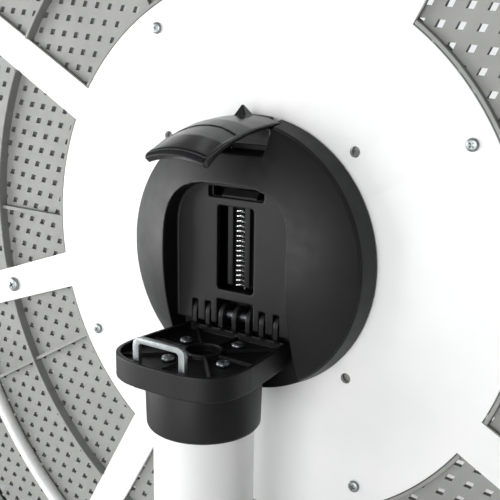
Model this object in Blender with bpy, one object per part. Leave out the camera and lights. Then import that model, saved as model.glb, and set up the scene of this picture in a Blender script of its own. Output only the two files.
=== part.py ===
"""Round tilt-top garden table, stored with its top turned upright.

Metres, +Z up. The origin is on the floor, on the column's axis. The top's underside faces -Y.
Turning the top by +90 degrees about the hinge pin lays it flat for use.
"""
import math

import bmesh
import bpy
from mathutils import Matrix, Vector

# Driving dimensions
GAP = 0.0003                # clearance between pieces that touch
STEP = 0.00005              # keeps joined faces out of one plane
PLATE_Y = 0.050             # visible face of the frame plate
CENTRE_Z = 0.744            # centre of the upright top above the floor
HINGE_Y = PLATE_Y - 0.0135
HINGE_Z = CENTRE_Z - 0.038
FLOOR_END_Z = HINGE_Z - 0.0052   # lower end of the hub's recess floor

# Moulded top
TOP_RADIUS = 0.375
SKIN_Y = PLATE_Y + 0.0075
SKIN_THICKNESS = 0.0032
RIM_DEPTH = 0.0197
RIM_WALL = 0.003
RIM_ROUND = 0.006
RIB_WALL = 0.0024
RIB_TOP_Y = PLATE_Y + 0.0003
RING_RIB_TOP_Y = PLATE_Y - 0.0025
RIB_FIRST_ANGLE = 29.5
RIB_COUNT = 12
RING_RIB_RADIUS = 0.232
EDGE_RIB_RADIUS = 0.1675

# Steel frame behind the top
PLATE_RADIUS = 0.167
PLATE_THICKNESS = 0.0025
SPOKE_WIDTH = 0.025
SPOKE_START = 0.150
SPOKES = (                  # direction in degrees, sideways offset of the centre line
    (61.4, -0.008),
    (150.9, -0.003),
    (240.1, -0.008),
    (330.9, -0.003),
    (18.8, -0.0179),
    (108.8, -0.0179),
    (198.8, -0.0179),
    (288.8, -0.0179),
)
RING_RADIUS = 0.2945
RING_TUBE = 0.005
RING_Y = PLATE_Y
PLATE_SCREW_CIRCLE = 0.154
SPARE_HOLE_CIRCLE = 0.0947
SPOKE_SCREW_CIRCLE = 0.230
SPOKE_SCREW_ANGLE = 14.5

# Hub on the plate
HUB_RADIUS = 0.0845
HUB_EDGE_RADIUS = 0.082
HUB_SIDE = 0.016
HUB_HEIGHT = 0.041
HUB_WALL = 0.003
FLOOR_DEPTH = 0.020         # recess floor in front of the plate
FLOOR_WALL = 0.003
LOWER_PANEL_DEPTH = 0.012
RECESS_HALF = 0.044
HUB_BOLT_CIRCLE = 0.068
HUB_BOLT_ANGLES = (20.0, 160.0, 200.0, 340.0)

# Horseshoe outline shared by the pole head and the recess, measured from the hinge
OUTLINE_FRONT = 0.082
OUTLINE_WIDEST = 0.0485
OUTLINE_HALF = 0.0418
OUTLINE_REAR_HALF = 0.037
OUTLINE_REAR = 0.0023
OUTLINE_POWER = 3.0

# Hinge
PIN_RADIUS = 0.003
FINGER_RADIUS = 0.007
FINGER_HALF = 0.0017
FINGER_PITCH = 0.010
WINDOW_HALF = 0.0133
WINDOW_LOW = -0.021
WINDOW_HIGH = 0.031

# Latch and lever, in the hub
SLIDE_Y = (PLATE_Y - 0.0162, PLATE_Y - 0.0128)
SLOT_LOW = 0.0358
SLOT_HIGH = 0.0422
SPRING_RADIUS = 0.0029
SPRING_WIRE = 0.00055
SPRING_TURNS = 16
SPRING_LOW = -0.0203
SPRING_HIGH = 0.0297
PIVOT_Y = PLATE_Y - 0.0035
PIVOT_Z = CENTRE_Z + 0.067
LEVER_PIN_RADIUS = 0.00175
NOTCH_HALF = 0.022
NOTCH_LOW = 0.0633
NOTCH_BACK = 0.0063
LEVER_STATIONS = (          # depth in front of the plate, edge height, half width, crown, thickness
    (0.0068, 0.0812, 0.0216, 0.0033, 0.0032),
    (0.0120, 0.0811, 0.0216, 0.0034, 0.0030),
    (0.0200, 0.0806, 0.0216, 0.0037, 0.0028),
    (0.0348, 0.0790, 0.0214, 0.0043, 0.0028),
    (0.0476, 0.0761, 0.0209, 0.0046, 0.0030),
    (0.0597, 0.0727, 0.0205, 0.0042, 0.0034),
    (0.0700, 0.0685, 0.0204, 0.0037, 0.0040),
    (0.0775, 0.0655, 0.0203, 0.0034, 0.0042),
)

# Pole head and column
HEAD_TOP = HINGE_Z - 0.0088
HEAD_BOTTOM = CENTRE_Z - 0.061
HEAD_WALL = 0.0026
TRAY_FLOOR = CENTRE_Z - 0.0515
HEAD_SCREW_CIRCLE = 0.023
HEAD_SCREW_ANGLE = 65.0
BOSS_RADIUS = 0.0116
TUBE_RADIUS = 0.030
TUBE_WALL = 0.002
COLLAR_RADIUS = 0.0345
COLLAR_BOTTOM = CENTRE_Z - 0.094
STRIKER_Y = (PLATE_Y - 0.0912, PLATE_Y - 0.0880)
STRIKER_HALF = 0.0183
STRIKER_WIDTH = 0.0043
STRIKER_TOP = CENTRE_Z - 0.033
STRIKER_BAR = 0.0036

# Base
FOOT_HEIGHT = 0.012
LEG_HEIGHT = 0.022
LEG_START = 0.024
LEG_END = 0.300
LEG_HALF = 0.0225
LEG_END_HALF = 0.020
FOOT_CIRCLE = 0.280
FLANGE_RADIUS = 0.078
FLANGE_BOTTOM = FOOT_HEIGHT + LEG_HEIGHT + GAP
FLANGE_THICKNESS = 0.008
SOCKET_RADIUS = 0.0375
SOCKET_TOP = 0.095
BASE_BOLT_CIRCLE = 0.058

# Screws: head radius, head height, shank radius, shank length
PLATE_SCREW = (0.0036, 0.0016, 0.0019, 0.009)
SPOKE_SCREW = (0.0055, 0.0028, 0.0019, 0.009)
HUB_BOLT = (0.0045, 0.0028, 0.002, 0.0135)
HEAD_SCREW = (0.004, 0.0028, 0.002, 0.020)
BASE_BOLT = (0.0052, 0.0033, 0.003, 0.018)

COLOURS = {                 # linear colour, roughness, metallic
    "grey_plastic": ((0.36, 0.37, 0.33), 0.55, 0.0),
    "white_paint": ((0.88, 0.88, 0.88), 0.35, 0.0),
    "black_plastic": ((0.025, 0.025, 0.027), 0.42, 0.0),
    "zinc": ((0.62, 0.64, 0.64), 0.32, 1.0),
    "rubber": ((0.03, 0.03, 0.03), 0.8, 0.0),
}


def clear_scene():
    for obj in list(bpy.data.objects):
        bpy.data.objects.remove(obj, do_unlink=True)


def make_material(name):
    colour, roughness, metallic = COLOURS[name]
    material = bpy.data.materials.new(name)
    material.use_nodes = True
    shader = material.node_tree.nodes["Principled BSDF"]
    shader.inputs["Base Color"].default_value = (*colour, 1.0)
    shader.inputs["Roughness"].default_value = roughness
    shader.inputs["Metallic"].default_value = metallic
    return material


def make_pivot(name, y, z):
    pivot = bpy.data.objects.new(name, None)
    pivot.location = (0.0, y, z)
    bpy.context.collection.objects.link(pivot)
    return pivot


def finish(bm, name, material=None, pivot=None, smooth=True):
    """Turns a bmesh into an object. Its origin goes to the pivot when it has one."""
    bmesh.ops.remove_doubles(bm, verts=bm.verts, dist=0.000005)
    bmesh.ops.recalc_face_normals(bm, faces=bm.faces)
    mesh = bpy.data.meshes.new(name)
    bm.to_mesh(mesh)
    bm.free()
    obj = bpy.data.objects.new(name, mesh)
    bpy.context.collection.objects.link(obj)
    if material:
        mesh.materials.append(make_material(material))
    if smooth:
        mesh.shade_smooth()
        mesh.set_sharp_from_angle(angle=math.radians(35))
    if pivot:
        mesh.transform(Matrix.Translation(-pivot.location))
        obj.parent = pivot
    return obj


def guide(bm, name):
    """A hidden tool body for the Boolean modifiers."""
    obj = finish(bm, name, smooth=False)
    obj.hide_render = True
    obj.display_type = "WIRE"
    return obj


def combine(target, tool, operation):
    modifier = target.modifiers.new(tool.name, "BOOLEAN")
    modifier.operation = operation
    modifier.solver = "EXACT"
    modifier.object = tool


def box(bm, low, high):
    centre = [(a + b) / 2 for a, b in zip(low, high)]
    size = [b - a for a, b in zip(low, high)]
    matrix = Matrix.Translation(centre) @ Matrix.Diagonal((*size, 1.0))
    return bmesh.ops.create_cube(bm, size=1.0, matrix=matrix)["verts"]


def cylinder(bm, start, end, radius, segments=16, end_radius=None):
    start, end = Vector(start), Vector(end)
    turn = (end - start).to_track_quat("Z", "Y").to_matrix().to_4x4()
    matrix = Matrix.Translation((start + end) / 2) @ turn
    return bmesh.ops.create_cone(
        bm, cap_ends=True, segments=segments, radius1=radius,
        radius2=radius if end_radius is None else end_radius,
        depth=(end - start).length, matrix=matrix)["verts"]


def prism(bm, outline, low, high):
    """Extrudes a closed outline of 3-D points along the vector from low to high."""
    step = Vector(high) - Vector(low)
    first = [bm.verts.new(Vector(point) + Vector(low)) for point in outline]
    last = [bm.verts.new(vert.co + step) for vert in first]
    bm.faces.new(first)
    bm.faces.new(list(reversed(last)))
    for index in range(len(first)):
        after = (index + 1) % len(first)
        bm.faces.new((first[index], last[index], last[after], first[after]))
    return first + last


def lathe(bm, profile, centre, axis, segments):
    """Spins a closed profile of (radius, height) about an axis, Y or Z, through centre."""
    side = Vector((1.0, 0.0, 0.0))
    verts = [bm.verts.new(Vector(centre) + side * r + Vector(axis) * h) for r, h in profile]
    edges = [bm.edges.new((verts[i], verts[(i + 1) % len(verts)])) for i in range(len(verts))]
    bmesh.ops.spin(bm, geom=verts + edges, cent=centre, axis=axis, angle=2 * math.pi,
                   steps=segments, use_merge=True, use_normal_flip=False, use_duplicate=False)
    bmesh.ops.remove_doubles(bm, verts=bm.verts, dist=0.000005)
    flat = [edge for edge in bm.edges if not edge.link_faces]
    bmesh.ops.delete(bm, geom=flat, context="EDGES")


def arc(cx, cy, radius, start, end, steps):
    angles = [math.radians(start + (end - start) * i / steps) for i in range(steps + 1)]
    return [(cx + radius * math.cos(a), cy + radius * math.sin(a)) for a in angles]


def on_top(angle, radius, depth=0.0):
    """A point on the upright top: angle about its centre, depth in front of the plate."""
    turn = math.radians(angle)
    return (radius * math.cos(turn), PLATE_Y - depth, CENTRE_Z + radius * math.sin(turn))


def radial_box(bm, angle, offset, reach, half_width, y_range):
    """A bar that runs outwards in the top's plane, moved sideways by offset."""
    verts = box(bm, (reach[0], y_range[0], offset - half_width),
                (reach[1], y_range[1], offset + half_width))
    turn = Matrix.Rotation(-math.radians(angle), 4, "Y")
    bmesh.ops.transform(bm, matrix=Matrix.Translation((0, 0, CENTRE_Z)) @ turn, verts=verts)


# Top ---------------------------------------------------------------------

def build_top(pivot):
    """Moulded skin with its rim, its two ring ribs, its radial ribs and its screw bosses."""
    back = SKIN_THICKNESS
    inner = TOP_RADIUS - RIM_WALL
    profile = [(0.0, 0.0)]
    for start, rib_top in ((EDGE_RIB_RADIUS, RIB_TOP_Y), (RING_RIB_RADIUS, RING_RIB_TOP_Y)):
        rib = rib_top - SKIN_Y
        profile += [(start, 0.0), (start, rib), (start + RIB_WALL, rib), (start + RIB_WALL, 0.0)]
    profile += [(inner, 0.0), (inner, back - RIM_DEPTH), (TOP_RADIUS, back - RIM_DEPTH)]
    profile += arc(TOP_RADIUS - RIM_ROUND, back - RIM_ROUND, RIM_ROUND, 0, 90, 3)
    profile += [(0.0, back)]
    bm = bmesh.new()
    lathe(bm, profile, (0, SKIN_Y, CENTRE_Z), (0, 1, 0), 64)
    top = finish(bm, "table_top", "grey_plastic", pivot)

    ribs = bmesh.new()
    inside = SKIN_Y + 0.0012
    low_rib_y = PLATE_Y + PLATE_THICKNESS + GAP
    ring_gap = RING_TUBE + 0.002
    for index in range(RIB_COUNT):
        angle = RIB_FIRST_ANGLE + index * 360 / RIB_COUNT
        half = RIB_WALL / 2
        radial_box(ribs, angle, 0, (0.092, EDGE_RIB_RADIUS + 0.001), half, (low_rib_y, inside))
        radial_box(ribs, angle, 0, (EDGE_RIB_RADIUS + 0.0013, RING_RADIUS - ring_gap), half,
                   (RIB_TOP_Y, inside))
        radial_box(ribs, angle, 0, (RING_RADIUS + ring_gap, TOP_RADIUS - 0.001), half,
                   (RIB_TOP_Y, inside))
    combine(top, guide(ribs, "top_ribs_tool"), "UNION")

    bosses = bmesh.new()
    for index in range(4):
        for circle, angle in ((PLATE_SCREW_CIRCLE, RIB_FIRST_ANGLE),
                              (SPOKE_SCREW_CIRCLE, SPOKE_SCREW_ANGLE)):
            turned = angle + 90 * index
            foot = on_top(turned, circle, -(inside - PLATE_Y))
            cylinder(bosses, foot, on_top(turned, circle, PLATE_Y - low_rib_y), 0.005, 12)
    combine(top, guide(bosses, "top_bosses_tool"), "UNION")

    cuts = bmesh.new()
    for angle, offset in SPOKES:
        radial_box(cuts, angle, offset, (0.160, 0.293), SPOKE_WIDTH / 2 + 0.0005,
                   (PLATE_Y - 0.004, low_rib_y))
    combine(top, guide(cuts, "spoke_notches_tool"), "DIFFERENCE")

    holes = bmesh.new()
    for index in range(4):
        for circle, angle in ((PLATE_SCREW_CIRCLE, RIB_FIRST_ANGLE),
                              (SPOKE_SCREW_CIRCLE, SPOKE_SCREW_ANGLE)):
            turned = angle + 90 * index
            cylinder(holes, on_top(turned, circle, 0.004), on_top(turned, circle, -0.0093),
                     0.0023, 12)
    combine(top, guide(holes, "top_screw_holes_tool"), "DIFFERENCE")


def build_frame(pivot):
    """Flat steel plate with its eight spokes, and the round ring tube at their ends."""
    bm = bmesh.new()
    cylinder(bm, on_top(0, 0), on_top(0, 0, -PLATE_THICKNESS), PLATE_RADIUS, 64)
    plate = finish(bm, "frame_plate", "white_paint", pivot)

    bars = bmesh.new()
    ring_inside = RING_RADIUS - RING_TUBE - GAP
    for angle, offset in SPOKES:
        side = abs(offset) + SPOKE_WIDTH / 2
        reach = math.sqrt(ring_inside ** 2 - side ** 2)
        radial_box(bars, angle, offset, (SPOKE_START, reach), SPOKE_WIDTH / 2,
                   (PLATE_Y + STEP, PLATE_Y + PLATE_THICKNESS - STEP))
    combine(plate, guide(bars, "spokes_tool"), "UNION")

    holes = bmesh.new()
    rows = [(PLATE_SCREW_CIRCLE, RIB_FIRST_ANGLE + 90 * i, 0.0023) for i in range(4)]
    rows += [(SPOKE_SCREW_CIRCLE, SPOKE_SCREW_ANGLE + 90 * i, 0.0023) for i in range(4)]
    rows += [(SPARE_HOLE_CIRCLE, 45 + 90 * i, 0.0032) for i in range(4)]
    rows += [(HUB_BOLT_CIRCLE, angle, 0.0028) for angle in HUB_BOLT_ANGLES]
    for circle, angle, radius in rows:
        cylinder(holes, on_top(angle, circle, 0.003), on_top(angle, circle, -0.006), radius, 12)
    combine(plate, guide(holes, "plate_holes_tool"), "DIFFERENCE")

    bm = bmesh.new()
    circle = arc(RING_RADIUS, 0.0, RING_TUBE, 0, 315, 7)
    lathe(bm, circle, (0, RING_Y, CENTRE_Z), (0, 1, 0), 64)
    finish(bm, "ring_tube", "white_paint", pivot)


def build_screw(name, point, direction, sizes, pivot=None):
    """One screw. direction points out along the head; sizes are radii and lengths."""
    head_radius, head_height, shank_radius, shank_length = sizes
    direction = Vector(direction)
    profile = [(0.0, -shank_length), (shank_radius, -shank_length), (shank_radius, 0.0),
               (head_radius, 0.0), (head_radius, head_height * 0.5),
               (head_radius * 0.65, head_height), (0.0, head_height)]
    bm = bmesh.new()
    lathe(bm, profile, (0, 0, 0), (0, 0, 1), 8)
    turn = direction.to_track_quat("Z", "Y").to_matrix().to_4x4()
    seat = Matrix.Translation(Vector(point) + direction * GAP)
    bmesh.ops.transform(bm, matrix=seat @ turn, verts=bm.verts)
    finish(bm, name, "zinc", pivot)


def build_top_screws(pivot):
    """Screws that hold the plate and the spokes to the moulded top, and the hub to the plate."""
    front = Vector((0, -1, 0))
    for index in range(4):
        number = str(index + 1)
        place = on_top(RIB_FIRST_ANGLE + 90 * index, PLATE_SCREW_CIRCLE)
        build_screw("plate_screw_" + number, place, front, PLATE_SCREW, pivot)
        place = on_top(SPOKE_SCREW_ANGLE + 90 * index, SPOKE_SCREW_CIRCLE)
        build_screw("spoke_screw_" + number, place, front, SPOKE_SCREW, pivot)
        place = on_top(HUB_BOLT_ANGLES[index], HUB_BOLT_CIRCLE, -PLATE_THICKNESS)
        build_screw("hub_bolt_" + number, place, -front, HUB_BOLT, pivot)


# Hub ---------------------------------------------------------------------

def horseshoe(offset, rear):
    """(x, distance from the hinge) round the shared outline, grown by offset, open end at rear."""
    half = OUTLINE_HALF + offset
    rise = OUTLINE_FRONT - OUTLINE_WIDEST + offset
    points = []
    for step in range(21):
        angle = math.pi * step / 20
        cosine, sine = math.cos(angle), math.sin(angle)
        power = 2 / OUTLINE_POWER
        x = math.copysign(abs(cosine) ** power, cosine) * half
        points.append((x, OUTLINE_WIDEST + sine ** power * rise))
    rear_half = OUTLINE_REAR_HALF + offset if rear > 0 else half
    return [(rear_half, rear)] + points + [(-rear_half, rear)]


def dome_height(radius, skin):
    """Height of the hub's front at a radius, on a cap that is skin thick."""
    cap = HUB_HEIGHT - HUB_SIDE
    sphere = (HUB_EDGE_RADIUS ** 2 + cap ** 2) / (2 * cap)
    drop = sphere - math.sqrt(sphere ** 2 - radius ** 2)
    return HUB_HEIGHT - drop - skin


def dome(bm, skin, back):
    """Hub body as a closed turned solid, smaller by skin than the outside."""
    edge = HUB_EDGE_RADIUS - skin
    profile = [(0.0, back), (HUB_RADIUS - skin, back), (edge, HUB_SIDE - skin)]
    for step in range(1, 7):
        radius = edge * (1 - step / 6)
        profile.append((radius, dome_height(min(radius, HUB_EDGE_RADIUS), skin)))
    lathe(bm, profile, (0, PLATE_Y, CENTRE_Z), (0, -1, 0), 56)


def recess_prism(bm, offset, y_range):
    outline = [(x, 0.0, HINGE_Z + d) for x, d in horseshoe(offset, -0.060)]
    prism(bm, outline, (0, y_range[0], 0), (0, y_range[1], 0))


def build_hub(pivot):
    """Dome-shaped hinge housing: recess with a slotted floor, latch guides, lever opening."""
    bm = bmesh.new()
    dome(bm, 0.0, GAP)
    hub = finish(bm, "hub_housing", "black_plastic", pivot)

    bm = bmesh.new()
    dome(bm, HUB_WALL, -0.004)
    cavity = guide(bm, "hub_cavity_tool")
    front = PLATE_Y - 0.060
    offset = RECESS_HALF - OUTLINE_HALF
    parts = {
        "tub": lambda m: recess_prism(m, offset + HUB_WALL,
                                      (front, PLATE_Y - FLOOR_DEPTH + FLOOR_WALL)),
        "lower_tub": lambda m: box(
            m, (-RECESS_HALF - HUB_WALL + STEP, front + 0.002, CENTRE_Z - 0.096),
            (RECESS_HALF + HUB_WALL - STEP, PLATE_Y - LOWER_PANEL_DEPTH + FLOOR_WALL,
             FLOOR_END_Z + 0.002)),
        "hinge_block": lambda m: box(
            m, (-RECESS_HALF - 0.001, PLATE_Y - 0.0185, FLOOR_END_Z - 0.001),
            (RECESS_HALF + 0.001, PLATE_Y - 0.0085, HINGE_Z + 0.009)),
        "spring_seat": lambda m: box(
            m, (-0.004, PLATE_Y - 0.018, CENTRE_Z - 0.0235),
            (0.004, PLATE_Y - 0.0085, CENTRE_Z + SPRING_LOW - GAP)),
    }
    for name, make in parts.items():
        tool = bmesh.new()
        make(tool)
        combine(cavity, guide(tool, "hub_" + name + "_tool"), "DIFFERENCE")
    sides = bmesh.new()
    for sign in (-1, 1):
        low, high = sorted((sign * 0.0226, sign * 0.0252))
        box(sides, (low, PLATE_Y - 0.018, CENTRE_Z + 0.026),
            (high, PLATE_Y - 0.007, CENTRE_Z + 0.058))
        low, high = sorted((sign * 0.0225, sign * 0.0268))
        box(sides, (low, PLATE_Y - 0.018, CENTRE_Z + 0.061),
            (high, PLATE_Y - 0.0003, CENTRE_Z + 0.090))
    for angle in HUB_BOLT_ANGLES:
        cylinder(sides, on_top(angle, HUB_BOLT_CIRCLE, -0.001),
                 on_top(angle, HUB_BOLT_CIRCLE, 0.030), 0.005, 12)
    combine(cavity, guide(sides, "hub_guides_tool"), "DIFFERENCE")
    combine(hub, cavity, "DIFFERENCE")

    bm = bmesh.new()
    recess_prism(bm, offset, (front, PLATE_Y - FLOOR_DEPTH))
    combine(hub, guide(bm, "recess_tool"), "DIFFERENCE")
    bm = bmesh.new()
    box(bm, (-RECESS_HALF + STEP, front + 0.003, CENTRE_Z - 0.094),
        (RECESS_HALF - STEP, PLATE_Y - LOWER_PANEL_DEPTH, FLOOR_END_Z))
    combine(hub, guide(bm, "lower_recess_tool"), "DIFFERENCE")
    cut_floor(hub)


def cut_floor(hub):
    """Openings in the recess floor, the lever's notch, and the holes for pins and bolts."""
    bm = bmesh.new()
    through = (PLATE_Y - 0.021, PLATE_Y - 0.0165)
    box(bm, (-WINDOW_HALF, through[0], CENTRE_Z + WINDOW_LOW),
        (WINDOW_HALF, through[1], CENTRE_Z + WINDOW_HIGH))
    box(bm, (-0.020, through[0], CENTRE_Z + SLOT_LOW), (0.020, through[1], CENTRE_Z + SLOT_HIGH))
    low_z = HINGE_Z - 0.0088
    box(bm, (-WINDOW_HALF, through[0], low_z), (WINDOW_HALF, PLATE_Y - 0.005, HINGE_Z + 0.0108))
    for sign in (-1, 1):
        for number in (2, 3):
            middle = sign * number * FINGER_PITCH
            box(bm, (middle - FINGER_HALF - 0.0005, through[0], low_z),
                (middle + FINGER_HALF + 0.0005, PLATE_Y - 0.005, HINGE_Z + 0.0077))
    box(bm, (-NOTCH_HALF, PLATE_Y - 0.060, CENTRE_Z + NOTCH_LOW),
        (NOTCH_HALF, PLATE_Y - NOTCH_BACK, CENTRE_Z + 0.095))
    combine(hub, guide(bm, "floor_openings_tool"), "DIFFERENCE")

    bm = bmesh.new()
    cylinder(bm, (-0.0411, HINGE_Y, HINGE_Z), (0.0411, HINGE_Y, HINGE_Z), PIN_RADIUS + GAP)
    cylinder(bm, (-0.0256, PIVOT_Y, PIVOT_Z), (0.0256, PIVOT_Y, PIVOT_Z), LEVER_PIN_RADIUS + GAP,
             12)
    for angle in HUB_BOLT_ANGLES:
        cylinder(bm, on_top(angle, HUB_BOLT_CIRCLE, -0.001),
                 on_top(angle, HUB_BOLT_CIRCLE, 0.0125), 0.0024, 12)
    combine(hub, guide(bm, "hub_bores_tool"), "DIFFERENCE")


def build_pins(pivot):
    bm = bmesh.new()
    cylinder(bm, (-0.0408, HINGE_Y, HINGE_Z), (0.0408, HINGE_Y, HINGE_Z), PIN_RADIUS)
    finish(bm, "hinge_pin", "zinc", pivot)
    bm = bmesh.new()
    cylinder(bm, (-0.0253, PIVOT_Y, PIVOT_Z), (0.0253, PIVOT_Y, PIVOT_Z), LEVER_PIN_RADIUS, 12)
    finish(bm, "lever_pin", "zinc", pivot)


def build_latch(pivot):
    """Sliding latch: ramped tongue, two arms up to the lever, two legs beside the spring."""
    y_low, y_high = SLIDE_Y
    outline = [
        (0.0190, 0.036), (0.0190, 0.0663), (0.0220, 0.0663), (0.0220, 0.030),
        (0.0080, 0.030), (0.0080, -0.018), (0.0044, -0.018), (0.0044, 0.030),
    ]
    half = [(x, 0.0, CENTRE_Z + z) for x, z in outline]
    mirrored = [(-x, y, z) for x, y, z in reversed(half)]
    bm = bmesh.new()
    prism(bm, half + mirrored, (0, y_low, 0), (0, y_high, 0))
    slide = finish(bm, "latch_slide", "black_plastic", pivot, smooth=False)
    tip = bmesh.new()
    ramp = [(y_low + STEP, 0.0350), (y_high - STEP, 0.0350), (y_high - STEP, 0.0402),
            (y_low + STEP, 0.0368)]
    prism(tip, [(0.0, y, CENTRE_Z + z) for y, z in ramp], (-0.0125, 0, 0), (0.0125, 0, 0))
    combine(slide, guide(tip, "latch_tongue_tool"), "UNION")


def build_spring(pivot):
    """Compression spring between the hub's seat and the underside of the latch."""
    steps = SPRING_TURNS * 8
    length = SPRING_HIGH - SPRING_LOW - 2 * SPRING_WIRE
    middle_y = (SLIDE_Y[0] + SLIDE_Y[1]) / 2 + 0.0012
    curve = bpy.data.curves.new("latch_spring", "CURVE")
    curve.dimensions = "3D"
    curve.bevel_depth = SPRING_WIRE
    curve.bevel_resolution = 0
    curve.use_fill_caps = True
    line = curve.splines.new("POLY")
    line.points.add(steps)
    base = CENTRE_Z + SPRING_LOW + SPRING_WIRE - pivot.location.z
    for index, point in enumerate(line.points):
        angle = 2 * math.pi * SPRING_TURNS * index / steps
        point.co = (SPRING_RADIUS * math.sin(angle),
                    middle_y - SPRING_RADIUS * math.cos(angle) - pivot.location.y,
                    base + length * index / steps, 1.0)
    obj = bpy.data.objects.new("latch_spring", curve)
    obj.data.materials.append(make_material("zinc"))
    obj.parent = pivot
    bpy.context.collection.objects.link(obj)


def build_lever(pivot):
    """Arched thumb lever: crowned blade, two ears on the pivot pin, a foot over the latch."""
    bm = bmesh.new()
    across = 8
    loops = []
    for depth, edge_z, half, crown, thick in LEVER_STATIONS:
        spread = [-1 + 2 * k / across for k in range(across + 1)]
        upper = [(s * half, edge_z + crown * (1 - s * s)) for s in spread]
        lower = [(x * 0.985, z - thick) for x, z in reversed(upper)]
        loops.append([bm.verts.new((x, PLATE_Y - depth, CENTRE_Z + z))
                      for x, z in upper + lower])
    for first, second in zip(loops, loops[1:]):
        for k in range(len(first)):
            after = (k + 1) % len(first)
            bm.faces.new((first[k], first[after], second[after], second[k]))
    bm.faces.new(loops[0])
    bm.faces.new(list(reversed(loops[-1])))
    lever = finish(bm, "release_lever", "black_plastic", pivot)

    ears = bmesh.new()
    outline = [(PIVOT_Y + x, PIVOT_Z + z) for x, z in arc(0, 0, 0.0029, -150, 30, 6)]
    outline += [(PLATE_Y - 0.0072, CENTRE_Z + 0.0785), (PLATE_Y - 0.0072, CENTRE_Z + 0.0797),
                (PLATE_Y - 0.0135, CENTRE_Z + 0.0797), (PLATE_Y - 0.0135, CENTRE_Z + 0.0760)]
    for sign in (-1, 1):
        low, high = sorted((sign * 0.0135, sign * 0.0178))
        prism(ears, [(0.0, y, z) for y, z in outline], (low, 0, 0), (high, 0, 0))
    combine(lever, guide(ears, "lever_ears_tool"), "UNION")

    foot = bmesh.new()
    box(foot, (-0.0212, PLATE_Y - 0.0168, CENTRE_Z + 0.0667),
        (0.0212, PLATE_Y - 0.0132, CENTRE_Z + 0.0795))
    combine(lever, guide(foot, "lever_foot_tool"), "UNION")

    nub = bmesh.new()
    cylinder(nub, (0, PLATE_Y - 0.0125, CENTRE_Z + 0.0835), (0, PLATE_Y - 0.0122, CENTRE_Z + 0.0892),
             0.0052, 10, 0.0010)
    combine(lever, guide(nub, "lever_nub_tool"), "UNION")

    bore = bmesh.new()
    cylinder(bore, (-0.024, PIVOT_Y, PIVOT_Z), (0.024, PIVOT_Y, PIVOT_Z),
             LEVER_PIN_RADIUS + GAP, 12)
    combine(lever, guide(bore, "lever_bore_tool"), "DIFFERENCE")


# Pole head and column ------------------------------------------------------

def head_outline(offset):
    rear = OUTLINE_REAR - offset
    return [(x, HINGE_Y - d, 0.0) for x, d in horseshoe(offset, rear)]


def build_head():
    """Horseshoe tray with ribs and knuckle fingers, on top of the column."""
    bm = bmesh.new()
    prism(bm, head_outline(0.0), (0, 0, HEAD_BOTTOM), (0, 0, HEAD_TOP))
    head = finish(bm, "pole_head", "black_plastic")

    bm = bmesh.new()
    prism(bm, head_outline(-HEAD_WALL), (0, 0, TRAY_FLOOR), (0, 0, HEAD_TOP + 0.01))
    tray = guide(bm, "tray_tool")
    boss = bmesh.new()
    cylinder(boss, (0, 0, TRAY_FLOOR - 0.002), (0, 0, CENTRE_Z - 0.0485), BOSS_RADIUS, 32)
    combine(tray, guide(boss, "tray_boss_tool"), "DIFFERENCE")
    ribs = bmesh.new()
    rib_top = CENTRE_Z - 0.0495
    for index in range(8):
        verts = box(ribs, (BOSS_RADIUS - 0.002, -0.0007, TRAY_FLOOR - 0.002),
                    (0.047, 0.0007, rib_top))
        turn = Matrix.Rotation(math.radians(HEAD_SCREW_ANGLE + 22.5 + 45 * index), 4, "Z")
        bmesh.ops.transform(ribs, matrix=turn, verts=verts)
    combine(tray, guide(ribs, "tray_ribs_tool"), "DIFFERENCE")
    combine(head, tray, "DIFFERENCE")

    bm = bmesh.new()
    cylinder(bm, (0, 0, TRAY_FLOOR - 0.002), (0, 0, HEAD_TOP), BOSS_RADIUS - 0.0018, 32)
    combine(head, guide(bm, "boss_bore_tool"), "DIFFERENCE")

    bm = bmesh.new()
    prism(bm, head_outline(-HEAD_WALL), (0, 0, HEAD_BOTTOM - 0.01), (0, 0, HEAD_BOTTOM + 0.0065))
    under = guide(bm, "underside_tool")
    seat = bmesh.new()
    cylinder(seat, (0, 0, HEAD_BOTTOM - 0.02), (0, 0, HEAD_BOTTOM + 0.02), COLLAR_RADIUS + 0.001, 32)
    combine(under, guide(seat, "collar_seat_tool"), "DIFFERENCE")
    combine(head, under, "DIFFERENCE")

    fingers = bmesh.new()
    outline = [(HINGE_Y + y, HINGE_Z + z) for y, z in arc(0, 0, FINGER_RADIUS, -70, 180, 8)]
    outline += [(HINGE_Y - FINGER_RADIUS, HEAD_TOP - 0.0045),
                (HINGE_Y - 0.0028, HEAD_TOP - 0.0045), (HINGE_Y - 0.0028, HEAD_TOP + 0.0005)]
    for number in range(-3, 4):
        middle = number * FINGER_PITCH
        prism(fingers, [(0.0, y, z) for y, z in outline],
              (middle - FINGER_HALF, 0, 0), (middle + FINGER_HALF, 0, 0))
    combine(head, guide(fingers, "fingers_tool"), "UNION")

    holes = bmesh.new()
    cylinder(holes, (-0.034, HINGE_Y, HINGE_Z), (0.034, HINGE_Y, HINGE_Z), PIN_RADIUS + GAP)
    for x, y in head_screw_places():
        cylinder(holes, (x, y, HEAD_BOTTOM - 0.002), (x, y, TRAY_FLOOR + 0.001), 0.0023, 12)
    for sign in (-1, 1):
        low, high = sorted((sign * (STRIKER_HALF + GAP), sign * (STRIKER_HALF - STRIKER_WIDTH - GAP)))
        box(holes, (low, STRIKER_Y[0] - GAP, TRAY_FLOOR - 0.0025),
            (high, STRIKER_Y[1] + GAP, TRAY_FLOOR + 0.001))
    combine(head, guide(holes, "head_holes_tool"), "DIFFERENCE")


def head_screw_places():
    turns = [math.radians(HEAD_SCREW_ANGLE + 90 * i) for i in range(4)]
    return [(HEAD_SCREW_CIRCLE * math.cos(a), HEAD_SCREW_CIRCLE * math.sin(a)) for a in turns]


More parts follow.
